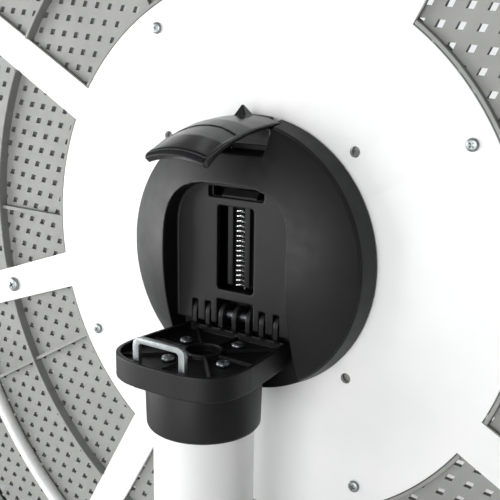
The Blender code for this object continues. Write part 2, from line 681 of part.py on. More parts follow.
def build_striker():
    """Bent zinc loop with chamfered corners that the latch hooks."""
    foot = TRAY_FLOOR - 0.0022
    inner = STRIKER_HALF - STRIKER_WIDTH
    chamfer = 0.005
    under = STRIKER_TOP - STRIKER_BAR
    outline = [
        (inner, foot), (STRIKER_HALF, foot), (STRIKER_HALF, STRIKER_TOP - chamfer),
        (STRIKER_HALF - 0.0015, STRIKER_TOP - 0.0018), (STRIKER_HALF - chamfer, STRIKER_TOP),
    ]
    outline += [(-x, z) for x, z in reversed(outline)]
    outline += [(-inner, under - 0.0012), (-inner + 0.0015, under), (inner - 0.0015, under),
                (inner, under - 0.0012)]
    bm = bmesh.new()
    prism(bm, [(x, 0.0, z) for x, z in outline], (0, STRIKER_Y[0], 0), (0, STRIKER_Y[1], 0))
    striker = finish(bm, "striker_loop", "zinc", smooth=False)
    bevel = striker.modifiers.new("soft_edges", "BEVEL")
    bevel.width = 0.0005
    bevel.segments = 1
    bevel.limit_method = "ANGLE"


def build_column():
    """Tube, the plug pressed into its top, the collar round it, and the head's screws."""
    foot = FLANGE_BOTTOM + FLANGE_THICKNESS + GAP
    top = HEAD_BOTTOM - GAP
    inside = TUBE_RADIUS - TUBE_WALL
    bm = bmesh.new()
    lathe(bm, [(inside, foot), (TUBE_RADIUS, foot), (TUBE_RADIUS, top), (inside, top)],
          (0, 0, 0), (0, 0, 1), 40)
    finish(bm, "column_tube", "white_paint")

    bm = bmesh.new()
    cylinder(bm, (0, 0, top - 0.040), (0, 0, top), inside - 2 * GAP, 32)
    plug = finish(bm, "column_plug", "black_plastic")
    holes = bmesh.new()
    for x, y in head_screw_places():
        cylinder(holes, (x, y, top - 0.012), (x, y, top + 0.002), 0.0023, 12)
    combine(plug, guide(holes, "plug_holes_tool"), "DIFFERENCE")

    bore = TUBE_RADIUS + GAP
    outer = COLLAR_RADIUS
    low_outer = COLLAR_RADIUS - 0.0007
    profile = [(bore, top), (bore, COLLAR_BOTTOM)]
    profile += [(low_outer - 0.003 + x, COLLAR_BOTTOM + 0.003 + z)
                for x, z in arc(0, 0, 0.003, -90, 0, 2)]
    profile += [(outer, top - 0.001), (outer - 0.001, top)]
    bm = bmesh.new()
    lathe(bm, profile, (0, 0, 0), (0, 0, 1), 40)
    finish(bm, "column_collar", "black_plastic")

    for index, (x, y) in enumerate(head_screw_places()):
        build_screw("head_screw_" + str(index + 1), (x, y, TRAY_FLOOR), (0, 0, 1), HEAD_SCREW)


# Base ----------------------------------------------------------------------

def turned(bm, verts, angle):
    bmesh.ops.transform(bm, matrix=Matrix.Rotation(math.radians(angle), 4, "Z"), verts=verts)


def build_leg(number):
    """One flat leg that tapers in height and in width towards its end."""
    angle = 45 + 90 * number
    high = FOOT_HEIGHT + LEG_HEIGHT
    bm = bmesh.new()
    side = [(LEG_START, -LEG_HALF), (FLANGE_RADIUS + 0.010, -LEG_HALF)]
    side += [(LEG_END - LEG_END_HALF + x, z)
             for x, z in arc(0, 0, LEG_END_HALF, -90, 90, 6)]
    side += [(FLANGE_RADIUS + 0.010, LEG_HALF), (LEG_START, LEG_HALF)]
    verts = prism(bm, [(x, y, 0.0) for x, y in side], (0, 0, FOOT_HEIGHT), (0, 0, high))
    for vert in verts:
        run = max(0.0, vert.co.x - FLANGE_RADIUS - 0.010)
        if vert.co.z > FOOT_HEIGHT + 0.001:
            vert.co.z -= run * 0.042
    turned(bm, verts, angle)
    leg = finish(bm, "base_leg_" + str(number + 1), "white_paint")
    holes = bmesh.new()
    cut = cylinder(holes, (FOOT_CIRCLE, 0, 0.002), (FOOT_CIRCLE, 0, FOOT_HEIGHT + 0.009), 0.0043, 12)
    for sign in (-1, 1):
        cut += cylinder(holes, (BASE_BOLT_CIRCLE, sign * 0.012, high - 0.012),
                        (BASE_BOLT_CIRCLE, sign * 0.012, high + 0.002), 0.0033, 12)
    turned(holes, cut, angle)
    combine(leg, guide(holes, "leg_holes_tool_" + str(number + 1)), "DIFFERENCE")


def build_foot(number):
    """Glide under a leg's end, with its stem in the leg."""
    profile = [(0.0, 0.0), (0.0125, 0.0), (0.015, 0.0022), (0.015, 0.0085), (0.0135, FOOT_HEIGHT - GAP),
               (0.004, FOOT_HEIGHT - GAP), (0.004, FOOT_HEIGHT + 0.0085), (0.0, FOOT_HEIGHT + 0.0085)]
    turn = math.radians(45 + 90 * number)
    centre = (FOOT_CIRCLE * math.cos(turn), FOOT_CIRCLE * math.sin(turn), 0.0)
    bm = bmesh.new()
    lathe(bm, profile, centre, (0, 0, 1), 12)
    finish(bm, "base_glide_" + str(number + 1), "rubber")


def build_base():
    """Flange with the column's socket, its bolts and set screw, the legs and the glides."""
    low = FLANGE_BOTTOM
    seat = low + FLANGE_THICKNESS
    bore = TUBE_RADIUS + GAP
    profile = [(0.0, low), (FLANGE_RADIUS, low), (FLANGE_RADIUS, seat - 0.002),
               (FLANGE_RADIUS - 0.002, seat), (SOCKET_RADIUS + 0.006, seat)]
    profile += arc(SOCKET_RADIUS + 0.006, seat + 0.006, 0.006, 270, 180, 2)[1:]
    profile += [(SOCKET_RADIUS, SOCKET_TOP - 0.003), (SOCKET_RADIUS - 0.003, SOCKET_TOP),
                (bore, SOCKET_TOP), (bore, seat), (0.0, seat)]
    bm = bmesh.new()
    lathe(bm, profile, (0, 0, 0), (0, 0, 1), 40)
    flange = finish(bm, "base_flange", "white_paint")

    holes = bmesh.new()
    for number in range(4):
        turn = Matrix.Rotation(math.radians(45 + 90 * number), 3, "Z")
        for sign in (-1, 1):
            place = turn @ Vector((BASE_BOLT_CIRCLE, sign * 0.012, 0))
            cylinder(holes, place + Vector((0, 0, low - 0.001)), place + Vector((0, 0, seat + 0.001)),
                     0.0033, 12)
            name = "base_bolt_" + str(2 * number + (1 if sign < 0 else 2))
            build_screw(name, place + Vector((0, 0, seat)), (0, 0, 1), BASE_BOLT)
    screw_z = SOCKET_TOP - 0.015
    cylinder(holes, (0, -SOCKET_RADIUS - 0.002, screw_z), (0, -bore + 0.001, screw_z), 0.0033, 12)
    combine(flange, guide(holes, "flange_holes_tool"), "DIFFERENCE")

    bm = bmesh.new()
    cylinder(bm, (0, -SOCKET_RADIUS - 0.001, screw_z), (0, -bore, screw_z), 0.003, 12)
    finish(bm, "socket_set_screw", "zinc")
    for number in range(4):
        build_leg(number)
        build_foot(number)


def main():
    clear_scene()
    top_pivot = make_pivot("top_hinge_axis", HINGE_Y, HINGE_Z)
    lever_pivot = make_pivot("lever_axis", PIVOT_Y, PIVOT_Z)
    latch_pivot = make_pivot("latch_axis", sum(SLIDE_Y) / 2, CENTRE_Z)
    build_top(top_pivot)
    build_frame(top_pivot)
    build_top_screws(top_pivot)
    build_hub(top_pivot)
    build_pins(top_pivot)
    build_spring(top_pivot)
    build_latch(latch_pivot)
    build_lever(lever_pivot)
    build_head()
    build_striker()
    build_column()
    build_base()


main()
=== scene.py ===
import math

import bmesh
import bpy
from mathutils import Matrix, Vector


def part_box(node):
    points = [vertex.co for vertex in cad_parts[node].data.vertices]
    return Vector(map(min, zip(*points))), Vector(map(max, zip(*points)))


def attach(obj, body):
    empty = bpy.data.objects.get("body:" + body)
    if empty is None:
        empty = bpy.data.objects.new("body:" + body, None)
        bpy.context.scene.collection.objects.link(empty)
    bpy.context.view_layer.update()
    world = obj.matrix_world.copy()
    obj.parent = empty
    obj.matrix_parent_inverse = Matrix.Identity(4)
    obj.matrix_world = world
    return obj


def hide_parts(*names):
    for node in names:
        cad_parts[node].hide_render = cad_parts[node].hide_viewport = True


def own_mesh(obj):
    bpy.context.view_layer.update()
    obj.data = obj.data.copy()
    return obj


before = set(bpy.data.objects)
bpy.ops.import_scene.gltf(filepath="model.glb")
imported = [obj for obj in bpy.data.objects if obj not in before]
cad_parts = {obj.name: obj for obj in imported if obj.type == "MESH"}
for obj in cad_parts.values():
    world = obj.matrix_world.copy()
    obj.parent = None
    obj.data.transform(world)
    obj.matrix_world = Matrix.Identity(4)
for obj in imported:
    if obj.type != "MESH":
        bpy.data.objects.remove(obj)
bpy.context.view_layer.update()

mm = 0.001
print("frame loaded:", len(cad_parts), "nodes")


# places, all taken from the frame
def middle(node):
    low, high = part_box(node)
    return (low + high) / 2


ringMiddle = middle("ring_tube")
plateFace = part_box("frame_plate")[0].y
hinge = middle("hinge_pin")
hingeUp = hinge.z - ringMiddle.z           # the pin's height against the middle of the top
headTop = hinge.z - 8.8 * mm
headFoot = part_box("column_collar")[1].z

# the top is modelled lying on its face: x across, y up when it stands, z out of the underside
topPlace = Matrix.Translation((0, plateFace, ringMiddle.z)) @ Matrix.Rotation(math.pi / 2, 4, "X")


# outlines are drawn flat, then stood up: seen from the side, or seen from the front
fromSide = Matrix(((0, 0, 1, 0), (1, 0, 0, 0), (0, 1, 0, 0), (0, 0, 0, 1)))
fromFront = Matrix(((1, 0, 0, 0), (0, 0, 1, 0), (0, 1, 0, 0), (0, 0, 0, 1)))


# bench tools
def block(bm, low, high):
    made = bmesh.ops.create_cube(bm, size=1)["verts"]
    size = [b - a for a, b in zip(low, high)]
    centre = [(a + b) / 2 for a, b in zip(low, high)]
    bmesh.ops.transform(bm, matrix=Matrix.Translation(centre) @ Matrix.Diagonal((*size, 1)), verts=made)
    return made


def rod(bm, start, end, radius, segments=32):
    start, end = Vector(start), Vector(end)
    turn = (end - start).to_track_quat("Z", "Y").to_matrix().to_4x4()
    return bmesh.ops.create_cone(
        bm, cap_ends=True, segments=segments, radius1=radius, radius2=radius,
        depth=(end - start).length, matrix=Matrix.Translation((start + end) / 2) @ turn)["verts"]


def slab(bm, outline, low, high):
    # an outline of (x, y) raised from one height to the other
    face = bm.faces.new([bm.verts.new((x, y, low)) for x, y in outline])
    grown = bmesh.ops.extrude_face_region(bm, geom=[face])["geom"]
    raised = [v for v in grown if isinstance(v, bmesh.types.BMVert)]
    bmesh.ops.translate(bm, verts=raised, vec=(0, 0, high - low))
    return list(face.verts) + raised


def turnProfile(bm, profile, steps, closed=True):
    # spins a profile of (radius, height) round z
    verts = [bm.verts.new((r, 0, h)) for r, h in profile]
    count = len(verts) if closed else len(verts) - 1
    edges = [bm.edges.new((verts[i], verts[(i + 1) % len(verts)])) for i in range(count)]
    bmesh.ops.spin(bm, geom=verts + edges, cent=(0, 0, 0), axis=(0, 0, 1), angle=math.tau, steps=steps,
                   use_merge=True)
    bmesh.ops.remove_doubles(bm, verts=bm.verts, dist=0.000004)
    loose = [e for e in bm.edges if not e.link_faces]
    bmesh.ops.delete(bm, geom=loose, context="EDGES")


def arc(x, y, radius, start, end, steps):
    turns = [math.radians(start + (end - start) * i / steps) for i in range(steps + 1)]
    return [(x + radius * math.cos(a), y + radius * math.sin(a)) for a in turns]


def workpiece(bm, name):
    bmesh.ops.recalc_face_normals(bm, faces=bm.faces)
    mesh = bpy.data.meshes.new(name)
    bm.to_mesh(mesh)
    bm.free()
    obj = bpy.data.objects.new(name, mesh)
    bpy.context.collection.objects.link(obj)
    return obj


def settle(obj):
    # keeps what the modifiers made
    graph = bpy.context.evaluated_depsgraph_get()
    mesh = bpy.data.meshes.new_from_object(obj.evaluated_get(graph))
    obj.modifiers.clear()
    obj.data = mesh
    return obj


def carve(obj, tool, operation="DIFFERENCE"):
    modifier = obj.modifiers.new("carve", "BOOLEAN")
    modifier.operation = operation
    modifier.solver = "EXACT"
    modifier.object = tool
    settle(obj)
    bpy.data.objects.remove(tool)
    return obj


def soften(obj, grain, rounds, keep=1.0):
    # remeshes evenly and rubs the corners down, as a mould's corners are
    remesh = obj.modifiers.new("remesh", "REMESH")
    remesh.mode = "VOXEL"
    remesh.voxel_size = grain
    remesh.use_smooth_shade = True
    smooth = obj.modifiers.new("smooth", "SMOOTH")
    smooth.factor = 0.5
    smooth.iterations = rounds
    if keep < 1:
        thin = obj.modifiers.new("thin", "DECIMATE")
        thin.ratio = keep
    return settle(obj)


def breakEdges(obj, width, segments=2, angle=40):
    bevel = obj.modifiers.new("edges", "BEVEL")
    bevel.width = width
    bevel.segments = segments
    bevel.limit_method = "ANGLE"
    bevel.angle_limit = math.radians(angle)
    bevel.use_clamp_overlap = True
    return settle(obj)


def finishPiece(obj, material, body, stands=(), place=None, sharp=32):
    if place is not None:
        obj.data.transform(place)
    obj.data.materials.clear()
    obj.data.materials.append(material)
    obj.data.shade_smooth()
    obj.data.set_sharp_from_angle(angle=math.radians(sharp))
    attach(obj, body)
    if stands:
        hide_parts(*stands)
    return obj


# materials
def shade(code):
    # sRGB hex to the linear colour that a shader takes
    parts = [int(code[i:i + 2], 16) / 255 for i in (1, 3, 5)]
    return (*[c / 12.92 if c <= 0.04045 else ((c + 0.055) / 1.055) ** 2.4 for c in parts], 1)


def perMm(size):
    # a texture's scale for features of that many millimetres
    return 1000 / size


def addNode(tree, kind, links=(), values=(), **settings):
    node = tree.nodes.new(kind)
    for key, value in settings.items():
        setattr(node, key, value)
    for socket, value in dict(values).items():
        node.inputs[socket].default_value = value
    for socket, source in dict(links).items():
        tree.links.new(source, node.inputs[socket])
    return node


def startMaterial(name, **sockets):
    material = bpy.data.materials.new(name)
    material.use_nodes = True
    tree = material.node_tree
    shader = tree.nodes["Principled BSDF"]
    for socket, value in sockets.items():
        shader.inputs[socket.replace("_", " ")].default_value = value
    place = addNode(tree, "ShaderNodeTexCoord").outputs["Object"]
    return material, tree, shader, place


def spread(tree, source, low, high):
    # stretches a texture's middle values to run from low to high
    return addNode(tree, "ShaderNodeMapRange", {"Value": source},
                   {"From Min": 0.3, "From Max": 0.7, "To Min": low, "To Max": high}).outputs["Result"]


def tint(tree, factor, first, second):
    node = addNode(tree, "ShaderNodeMix", {"Factor": factor}, data_type="RGBA")
    node.inputs[6].default_value = shade(first)
    node.inputs[7].default_value = shade(second)
    return node.outputs[2]


def noise(tree, place, size, detail=2.0, rough=0.5):
    return addNode(tree, "ShaderNodeTexNoise", {"Vector": place},
                   {"Scale": perMm(size), "Detail": detail, "Roughness": rough}).outputs["Fac"]


def bump(tree, height, distance, strength=1.0, below=None):
    links = {"Height": height}
    if below is not None:
        links["Normal"] = below
    values = {"Distance": distance * mm, "Strength": strength}
    return addNode(tree, "ShaderNodeBump", links, values).outputs["Normal"]


def blackNylon(name, sheen, level):
    # black moulded polyamide, slightly cloudy in its sheen. The etched grain of a mould takes gloss away,
    # and a polished mould leaves it
    s = {"dark": "#131314", "light": "#19191B", "grain": 0.55, "flow": 22.0, "sheen": sheen}
    material, tree, shader, place = startMaterial(name, IOR=1.53, Specular_IOR_Level=level)
    cloud = noise(tree, place, s["flow"], 3.0)
    tree.links.new(tint(tree, spread(tree, cloud, 0, 1), s["dark"], s["light"]), shader.inputs["Base Color"])
    tree.links.new(spread(tree, noise(tree, place, s["flow"] / 3), *s["sheen"]), shader.inputs["Roughness"])
    grain = bump(tree, noise(tree, place, s["grain"], 3.0, 0.6), 0.04, 0.4)
    wave = bump(tree, noise(tree, place, 14.0), 0.10, 0.5, grain)
    tree.links.new(wave, shader.inputs["Normal"])
    return material


def mouldedPolypropylene():
    # grey filled polypropylene: dull, with a fine etched grain and faint flow marks
    s = {"dark": "#8C8D89", "light": "#969793", "grain": 0.7, "flow": 35.0, "dull": (0.50, 0.62)}
    material, tree, shader, place = startMaterial("mouldedPolypropylene", IOR=1.49)
    cloud = noise(tree, place, s["flow"], 3.0)
    tree.links.new(tint(tree, spread(tree, cloud, 0, 1), s["dark"], s["light"]), shader.inputs["Base Color"])
    tree.links.new(spread(tree, noise(tree, place, 9.0), *s["dull"]), shader.inputs["Roughness"])
    grain = bump(tree, noise(tree, place, s["grain"], 2.0), 0.05, 0.5)
    tree.links.new(bump(tree, noise(tree, place, 12.0), 0.12, 0.4, grain), shader.inputs["Normal"])
    return material


def powderCoat():
    # white polyester powder on steel: a smooth gloss over a shallow orange peel
    s = {"dark": "#EDEEEE", "light": "#F5F5F4", "peel": 1.6, "sheen": (0.30, 0.40)}
    material, tree, shader, place = startMaterial("powderCoat", IOR=1.5, Coat_Weight=0.15,
                                                  Coat_Roughness=0.25)
    cloud = noise(tree, place, 60.0, 2.0)
    tree.links.new(tint(tree, spread(tree, cloud, 0, 1), s["dark"], s["light"]), shader.inputs["Base Color"])
    tree.links.new(spread(tree, noise(tree, place, 18.0), *s["sheen"]), shader.inputs["Roughness"])
    peel = bump(tree, noise(tree, place, s["peel"], 1.0), 0.03, 0.5)
    tree.links.new(peel, shader.inputs["Normal"])
    return material


def zincPlate():
    # bright zinc over pressed steel: bluish grey crystals, fine drawing lines, duller in patches
    s = {"dark": "#8E9496", "light": "#A9AEAE", "crystal": 1.1, "sheen": (0.34, 0.44)}
    material, tree, shader, place = startMaterial("zincPlate", Metallic=1.0)
    crystal = addNode(tree, "ShaderNodeTexVoronoi", {"Vector": place}, {"Scale": perMm(s["crystal"])})
    patches = noise(tree, place, 4.0, 3.0)
    cloud = addNode(tree, "ShaderNodeMath", {0: patches, 1: crystal.outputs["Distance"]},
                    operation="MULTIPLY_ADD")
    cloud.inputs[2].default_value = 0.25
    tree.links.new(tint(tree, spread(tree, cloud.outputs[0], 0, 1), s["dark"], s["light"]),
                   shader.inputs["Base Color"])
    tree.links.new(spread(tree, noise(tree, place, 2.5), *s["sheen"]), shader.inputs["Roughness"])
    tree.links.new(bump(tree, noise(tree, place, 0.6, 2.0), 0.006, 0.25), shader.inputs["Normal"])
    return material


def springWire():
    # hard-drawn spring wire: brighter than the plating, with faint marks of the die
    s = {"dark": "#C4C6C8", "light": "#EDEDEA", "marks": 0.3}
    material, tree, shader, place = startMaterial("springWire", Metallic=1.0)
    marks = noise(tree, place, s["marks"], 2.0)
    tree.links.new(tint(tree, spread(tree, marks, 0, 1), s["dark"], s["light"]), shader.inputs["Base Color"])
    tree.links.new(spread(tree, noise(tree, place, 1.5), 0.16, 0.26), shader.inputs["Roughness"])
    tree.links.new(bump(tree, marks, 0.01, 0.3), shader.inputs["Normal"])
    return material


def nitrileRubber():
    # black moulded rubber: dull, with dust in its pores
    s = {"dark": "#1B1B1B", "light": "#2A2927", "pore": 0.8}
    material, tree, shader, place = startMaterial("nitrileRubber", IOR=1.52)
    dust = noise(tree, place, 7.0, 4.0)
    tree.links.new(tint(tree, spread(tree, dust, 0, 1), s["dark"], s["light"]), shader.inputs["Base Color"])
    tree.links.new(spread(tree, dust, 0.68, 0.85), shader.inputs["Roughness"])
    tree.links.new(bump(tree, noise(tree, place, s["pore"], 3.0), 0.08, 0.6), shader.inputs["Normal"])
    return material


nylon = blackNylon("etchedNylon", (0.42, 0.50), 0.3)
smoothNylon = blackNylon("polishedNylon", (0.20, 0.27), 0.5)
greyPlastic = mouldedPolypropylene()
whiteCoat = powderCoat()
zinc = zincPlate()
wire = springWire()
rubber = nitrileRubber()
print("materials made")


# the moulded top
top = {
    "radius": 375 * mm, "skinUnder": -7.5 * mm, "skinOver": -10.7 * mm, "rimEdge": 9.0 * mm,
    "rimWall": 3.0 * mm, "rimRound": 6.0 * mm, "fieldRadius": 366 * mm, "steps": 256,
    "pitchA": Vector((11.265, -1.101)) * mm, "pitchB": Vector((-4.892, -10.226)) * mm,
    "firstHole": Vector((-191.13, 47.79)) * mm, "holeShare": 0.375,
    "ribWall": 2.4 * mm, "ribTop": -0.3 * mm, "ribAngle": 29.5, "ribCount": 12,
    "ringRibs": ((168.7 * mm, -0.3 * mm), (233.2 * mm, 2.5 * mm)),
}
frameParts = {
    "radius": 167 * mm, "thickness": 2.5 * mm, "spokeHalf": 12.5 * mm, "spokeStart": 150 * mm,
    "spokes": ((61.4, -8.0), (150.9, -3.0), (240.1, -8.0), (330.9, -3.0),
               (18.8, -17.9), (108.8, -17.9), (198.8, -17.9), (288.8, -17.9)),
    "ringRadius": 294.5 * mm, "ringTube": 5 * mm, "ringOut": 0.0,
    "plateScrews": 154 * mm, "spareHoles": 94.7 * mm, "spokeScrews": 230 * mm, "spokeScrewAngle": 14.5,
    "spareHole": 3.2 * mm, "screwHole": 2.3 * mm, "bead": (2.2 * mm, 6.0 * mm, 1.4 * mm),
}


def around(angle, radius, z=0.0):
    turn = math.radians(angle)
    return Vector((radius * math.cos(turn), radius * math.sin(turn), z))


def bar(bm, angle, offset, reach, halfWidth, heights):
    # a bar running outwards, moved sideways by its offset
    made = block(bm, (reach[0], offset - halfWidth, heights[0]), (reach[1], offset + halfWidth, heights[1]))
    bmesh.ops.rotate(bm, verts=made, cent=(0, 0, 0), matrix=Matrix.Rotation(math.radians(angle), 3, "Z"))
    return made


def makeSkin():
    # a grid of unit cells, each with its hole, sheared to the slanting rows
    cells = 2 * int(top["fieldRadius"] / (9.5 * mm)) + 12
    bm = bmesh.new()
    bmesh.ops.create_grid(bm, x_segments=cells, y_segments=cells, size=cells / 2)
    a, b = top["pitchA"], top["pitchB"]
    slant = Matrix(((a.x, b.x, 0, 0), (a.y, b.y, 0, 0), (0, 0, 1, 0), (0, 0, 0, 1)))
    near = slant.inverted() @ Vector((*top["firstHole"], 0))
    shift = Vector((near.x - math.floor(near.x) - 0.5, near.y - math.floor(near.y) - 0.5, 0))
    bmesh.ops.translate(bm, verts=bm.verts, vec=shift)
    outside = [f for f in bm.faces
               if max((slant @ v.co).length for v in f.verts) > top["fieldRadius"] - 2 * mm]
    bmesh.ops.delete(bm, geom=outside, context="FACES")
    border = [e for e in bm.edges if e.is_boundary]
    openings = bm.faces[:]
    bmesh.ops.inset_individual(bm, faces=openings, thickness=(1 - top["holeShare"]) / 2,
                               use_even_offset=True)
    bmesh.ops.delete(bm, geom=openings, context="FACES_ONLY")
    bmesh.ops.transform(bm, matrix=slant, verts=bm.verts)
    circle = bmesh.ops.create_circle(bm, cap_ends=False, segments=top["steps"], radius=top["fieldRadius"])
    hoop = {e for v in circle["verts"] for e in v.link_edges}
    bmesh.ops.triangle_fill(bm, use_beauty=True, use_dissolve=False, edges=border + list(hoop),
                            normal=(0, 0, 1))
    bmesh.ops.translate(bm, verts=bm.verts, vec=(0, 0, top["skinUnder"]))
    bmesh.ops.recalc_face_normals(bm, faces=bm.faces)
    if sum(f.normal.z for f in bm.faces) < 0:
        bmesh.ops.reverse_faces(bm, faces=bm.faces)
    sheet = workpiece(bm, "sheet")
    thick = sheet.modifiers.new("thick", "SOLIDIFY")
    thick.thickness = top["skinUnder"] - top["skinOver"]
    thick.offset = -1
    settle(sheet)

    # the rim starts at the sheet's circle, so any wall on that circle goes. Known fault: the fill above
    # makes no faces from the stepped border out to the circle, so the sheet and the rim stay apart
    bm = bmesh.new()
    bm.from_mesh(sheet.data)
    bpy.data.objects.remove(sheet)
    edge = top["fieldRadius"]
    wall = [f for f in bm.faces if all(abs(v.co.xy.length - edge) < 0.02 * mm for v in f.verts)]
    bmesh.ops.delete(bm, geom=wall, context="FACES_ONLY")
    under, over, rimEdge = top["skinUnder"], top["skinOver"], top["rimEdge"]
    outer, inner = top["radius"], top["radius"] - top["rimWall"]
    lip = 1.3 * mm
    profile = [(edge, under)] + arc(inner - 3 * mm, under + 3 * mm, 3 * mm, 270, 360, 5)
    profile += arc(inner + lip, rimEdge - lip, lip, 180, 90, 4)
    profile += arc(outer - lip, rimEdge - lip, lip, 90, 0, 4)
    profile += arc(outer - top["rimRound"], over + top["rimRound"], top["rimRound"], 0, -90, 10)
    profile += [(edge, over)]
    turnProfile(bm, profile, top["steps"], closed=False)
    bmesh.ops.remove_doubles(bm, verts=bm.verts, dist=0.00001)
    return finishPiece(workpiece(bm, "top_moulding"), greyPlastic, "top", ["table_top"],
                       topPlace)


def makeRibs():
    bm = bmesh.new()
    half = top["ribWall"] / 2
    low, high = top["skinUnder"] - 0.6 * mm, top["ribTop"]
    rim = top["radius"] - 2 * mm
    ringGap = frameParts["ringTube"] + 2 * mm
    ringRibs = bmesh.new()
    for radius, crest in top["ringRibs"]:
        turnProfile(ringRibs, [(radius - half, low), (radius + half, low), (radius + half, crest - 0.4 * mm),
                               (radius + half - 0.4 * mm, crest), (radius - half + 0.4 * mm, crest),
                               (radius - half, crest - 0.4 * mm)], 192)
    edgeRib = top["ringRibs"][0][0]
    ribs = workpiece(ringRibs, "top_ribs")
    for index in range(top["ribCount"]):
        angle = top["ribAngle"] + index * 360 / top["ribCount"]
        inside = -frameParts["thickness"] - 0.3 * mm
        bar(bm, angle, 0, (92 * mm, edgeRib), half, (low, inside))
        bar(bm, angle, 0, (edgeRib + 0.4 * mm, frameParts["ringRadius"] - ringGap), half, (low, high))
        bar(bm, angle, 0, (frameParts["ringRadius"] + ringGap, rim), half, (low, high))
    carve(ribs, workpiece(bm, "bars"), "UNION")
    bm = bmesh.new()
    for angle, offset in frameParts["spokes"]:
        bar(bm, angle, offset * mm, (160 * mm, 293 * mm), frameParts["spokeHalf"] + 0.5 * mm,
            (-frameParts["thickness"] - 0.3 * mm, 4 * mm))
    carve(ribs, workpiece(bm, "notches"))
    return finishPiece(ribs, greyPlastic, "top", place=topPlace)


def makeFrame():
    bm = bmesh.new()
    back = -frameParts["thickness"]
    edge, soft = frameParts["radius"], 0.6 * mm
    turnProfile(bm, [(0, back), (edge - soft, back), (edge, back + soft)]
                + arc(edge - soft, -soft, soft, 0, 90, 4) + [(0, 0)], 192)
    plate = workpiece(bm, "frame_plate_and_spokes")
    bars = bmesh.new()
    for angle, offset in frameParts["spokes"]:
        reach = math.sqrt((frameParts["ringRadius"] - 2.5 * mm) ** 2 - (abs(offset) * mm + 12.5 * mm) ** 2)
        bar(bars, angle, offset * mm, (frameParts["spokeStart"], reach), frameParts["spokeHalf"],
            (back + 0.02 * mm, -0.02 * mm))
    spokes = breakEdges(workpiece(bars, "spokes"), 0.5 * mm, 3)
    carve(plate, spokes, "UNION")
    holes = bmesh.new()
    for quarter in range(4):
        for circle, angle, radius in (
                (frameParts["spareHoles"], 45, frameParts["spareHole"]),
                (frameParts["plateScrews"], top["ribAngle"], frameParts["screwHole"]),
                (frameParts["spokeScrews"], frameParts["spokeScrewAngle"], frameParts["screwHole"])):
            spot = around(angle + 90 * quarter, circle)
            rod(holes, spot + Vector((0, 0, -6 * mm)), spot + Vector((0, 0, 3 * mm)), radius)
    carve(plate, workpiece(holes, "holes"))
    return finishPiece(plate, whiteCoat, "top", ["frame_plate"], topPlace)


def makeRing():
    bm = bmesh.new()
    turnProfile(bm, [(frameParts["ringRadius"] + x, frameParts["ringOut"] + z)
                     for x, z in arc(0, 0, frameParts["ringTube"], 0, 345, 23)], 240)
    ring = finishPiece(workpiece(bm, "ring_hoop"), whiteCoat, "top", ["ring_tube"],
                       topPlace, 50)
    # weld beads where the spokes meet the hoop
    bm = bmesh.new()
    for angle, offset in frameParts["spokes"]:
        for side in (-1, 1):
            bead = bmesh.ops.create_uvsphere(bm, u_segments=16, v_segments=10, radius=1)["verts"]
            across = offset * mm + side * 6.2 * mm
            reach = math.sqrt((frameParts["ringRadius"] - 4.6 * mm) ** 2 - across ** 2)
            spot = Matrix.Translation((reach, across, 0.3 * mm))
            spot = Matrix.Rotation(math.radians(angle), 4, "Z") @ spot
            bmesh.ops.transform(bm, matrix=spot @ Matrix.Diagonal((*frameParts["bead"], 1)), verts=bead)
    finishPiece(workpiece(bm, "weld_beads"), whiteCoat, "top", place=topPlace)
    return ring


makeSkin()
makeRibs()
makeFrame()
makeRing()
print("top and its frame made")


# screws
screwKinds = {
    "plate_screw": {"head": 3.6 * mm, "height": 1.8 * mm,
                    "shank": 1.9 * mm, "length": 9.0 * mm, "drive": "cross"},
    "spoke_screw": {"head": 5.5 * mm, "height": 2.8 * mm,
                    "shank": 1.9 * mm, "length": 9.0 * mm, "drive": "cross"},
    "head_screw": {"head": 4.0 * mm, "height": 2.8 * mm,
                   "shank": 2.0 * mm, "length": 20.0 * mm, "drive": "cross"},
    "hub_bolt": {"head": 4.5 * mm, "height": 2.8 * mm,
                 "shank": 2.0 * mm, "length": 13.5 * mm, "drive": "hex"},
    "base_bolt": {"head": 5.2 * mm, "height": 3.3 * mm,
                  "shank": 3.0 * mm, "length": 18.0 * mm, "drive": "hex"},
}


def makeScrew(kind, number, place, body):
    s = screwKinds[kind]
    head, high = s["head"], s["height"]
    bm = bmesh.new()
    # a pan head: straight skirt, then a flattened dome
    dome = [(head * math.cos(a) ** 0.55, high * 0.35 + high * 0.65 * math.sin(a))
            for a in [math.pi / 2 * i / 8 for i in range(8)]]
    profile = [(0, -s["length"]), (s["shank"] * 0.7, -s["length"]), (s["shank"], -s["length"] + 0.6 * mm),
               (s["shank"], 0), (head * 0.96, 0), (head, high * 0.1)] + dome + [(0, high)]
    turnProfile(bm, profile, 32)
    screw = workpiece(bm, kind + "_" + str(number) + "_detailed")
    if s["drive"] == "cross":
        for turn in (0, 90):
            drive = bmesh.new()
            blade = block(drive, (-head * 0.56, -head * 0.12, high * 0.35),
                          (head * 0.56, head * 0.12, high * 1.4))
            for vert in blade:
                if vert.co.z < high * 0.5:
                    vert.co.x *= 0.5
            bmesh.ops.rotate(drive, verts=blade, cent=(0, 0, 0),
                             matrix=Matrix.Rotation(math.radians(turn), 3, "Z"))
            carve(screw, workpiece(drive, "drive"))
    else:
        drive = bmesh.new()
        rod(drive, (0, 0, high * 0.3), (0, 0, high * 1.4), head * 0.5, 6)
        carve(screw, workpiece(drive, "drive"))
    # each screw stops at its own turn
    spun = Matrix.Rotation(math.radians(37 * number + 12), 4, "Z")
    return finishPiece(screw, zinc, body, [kind + "_" + str(number)], place @ spun)


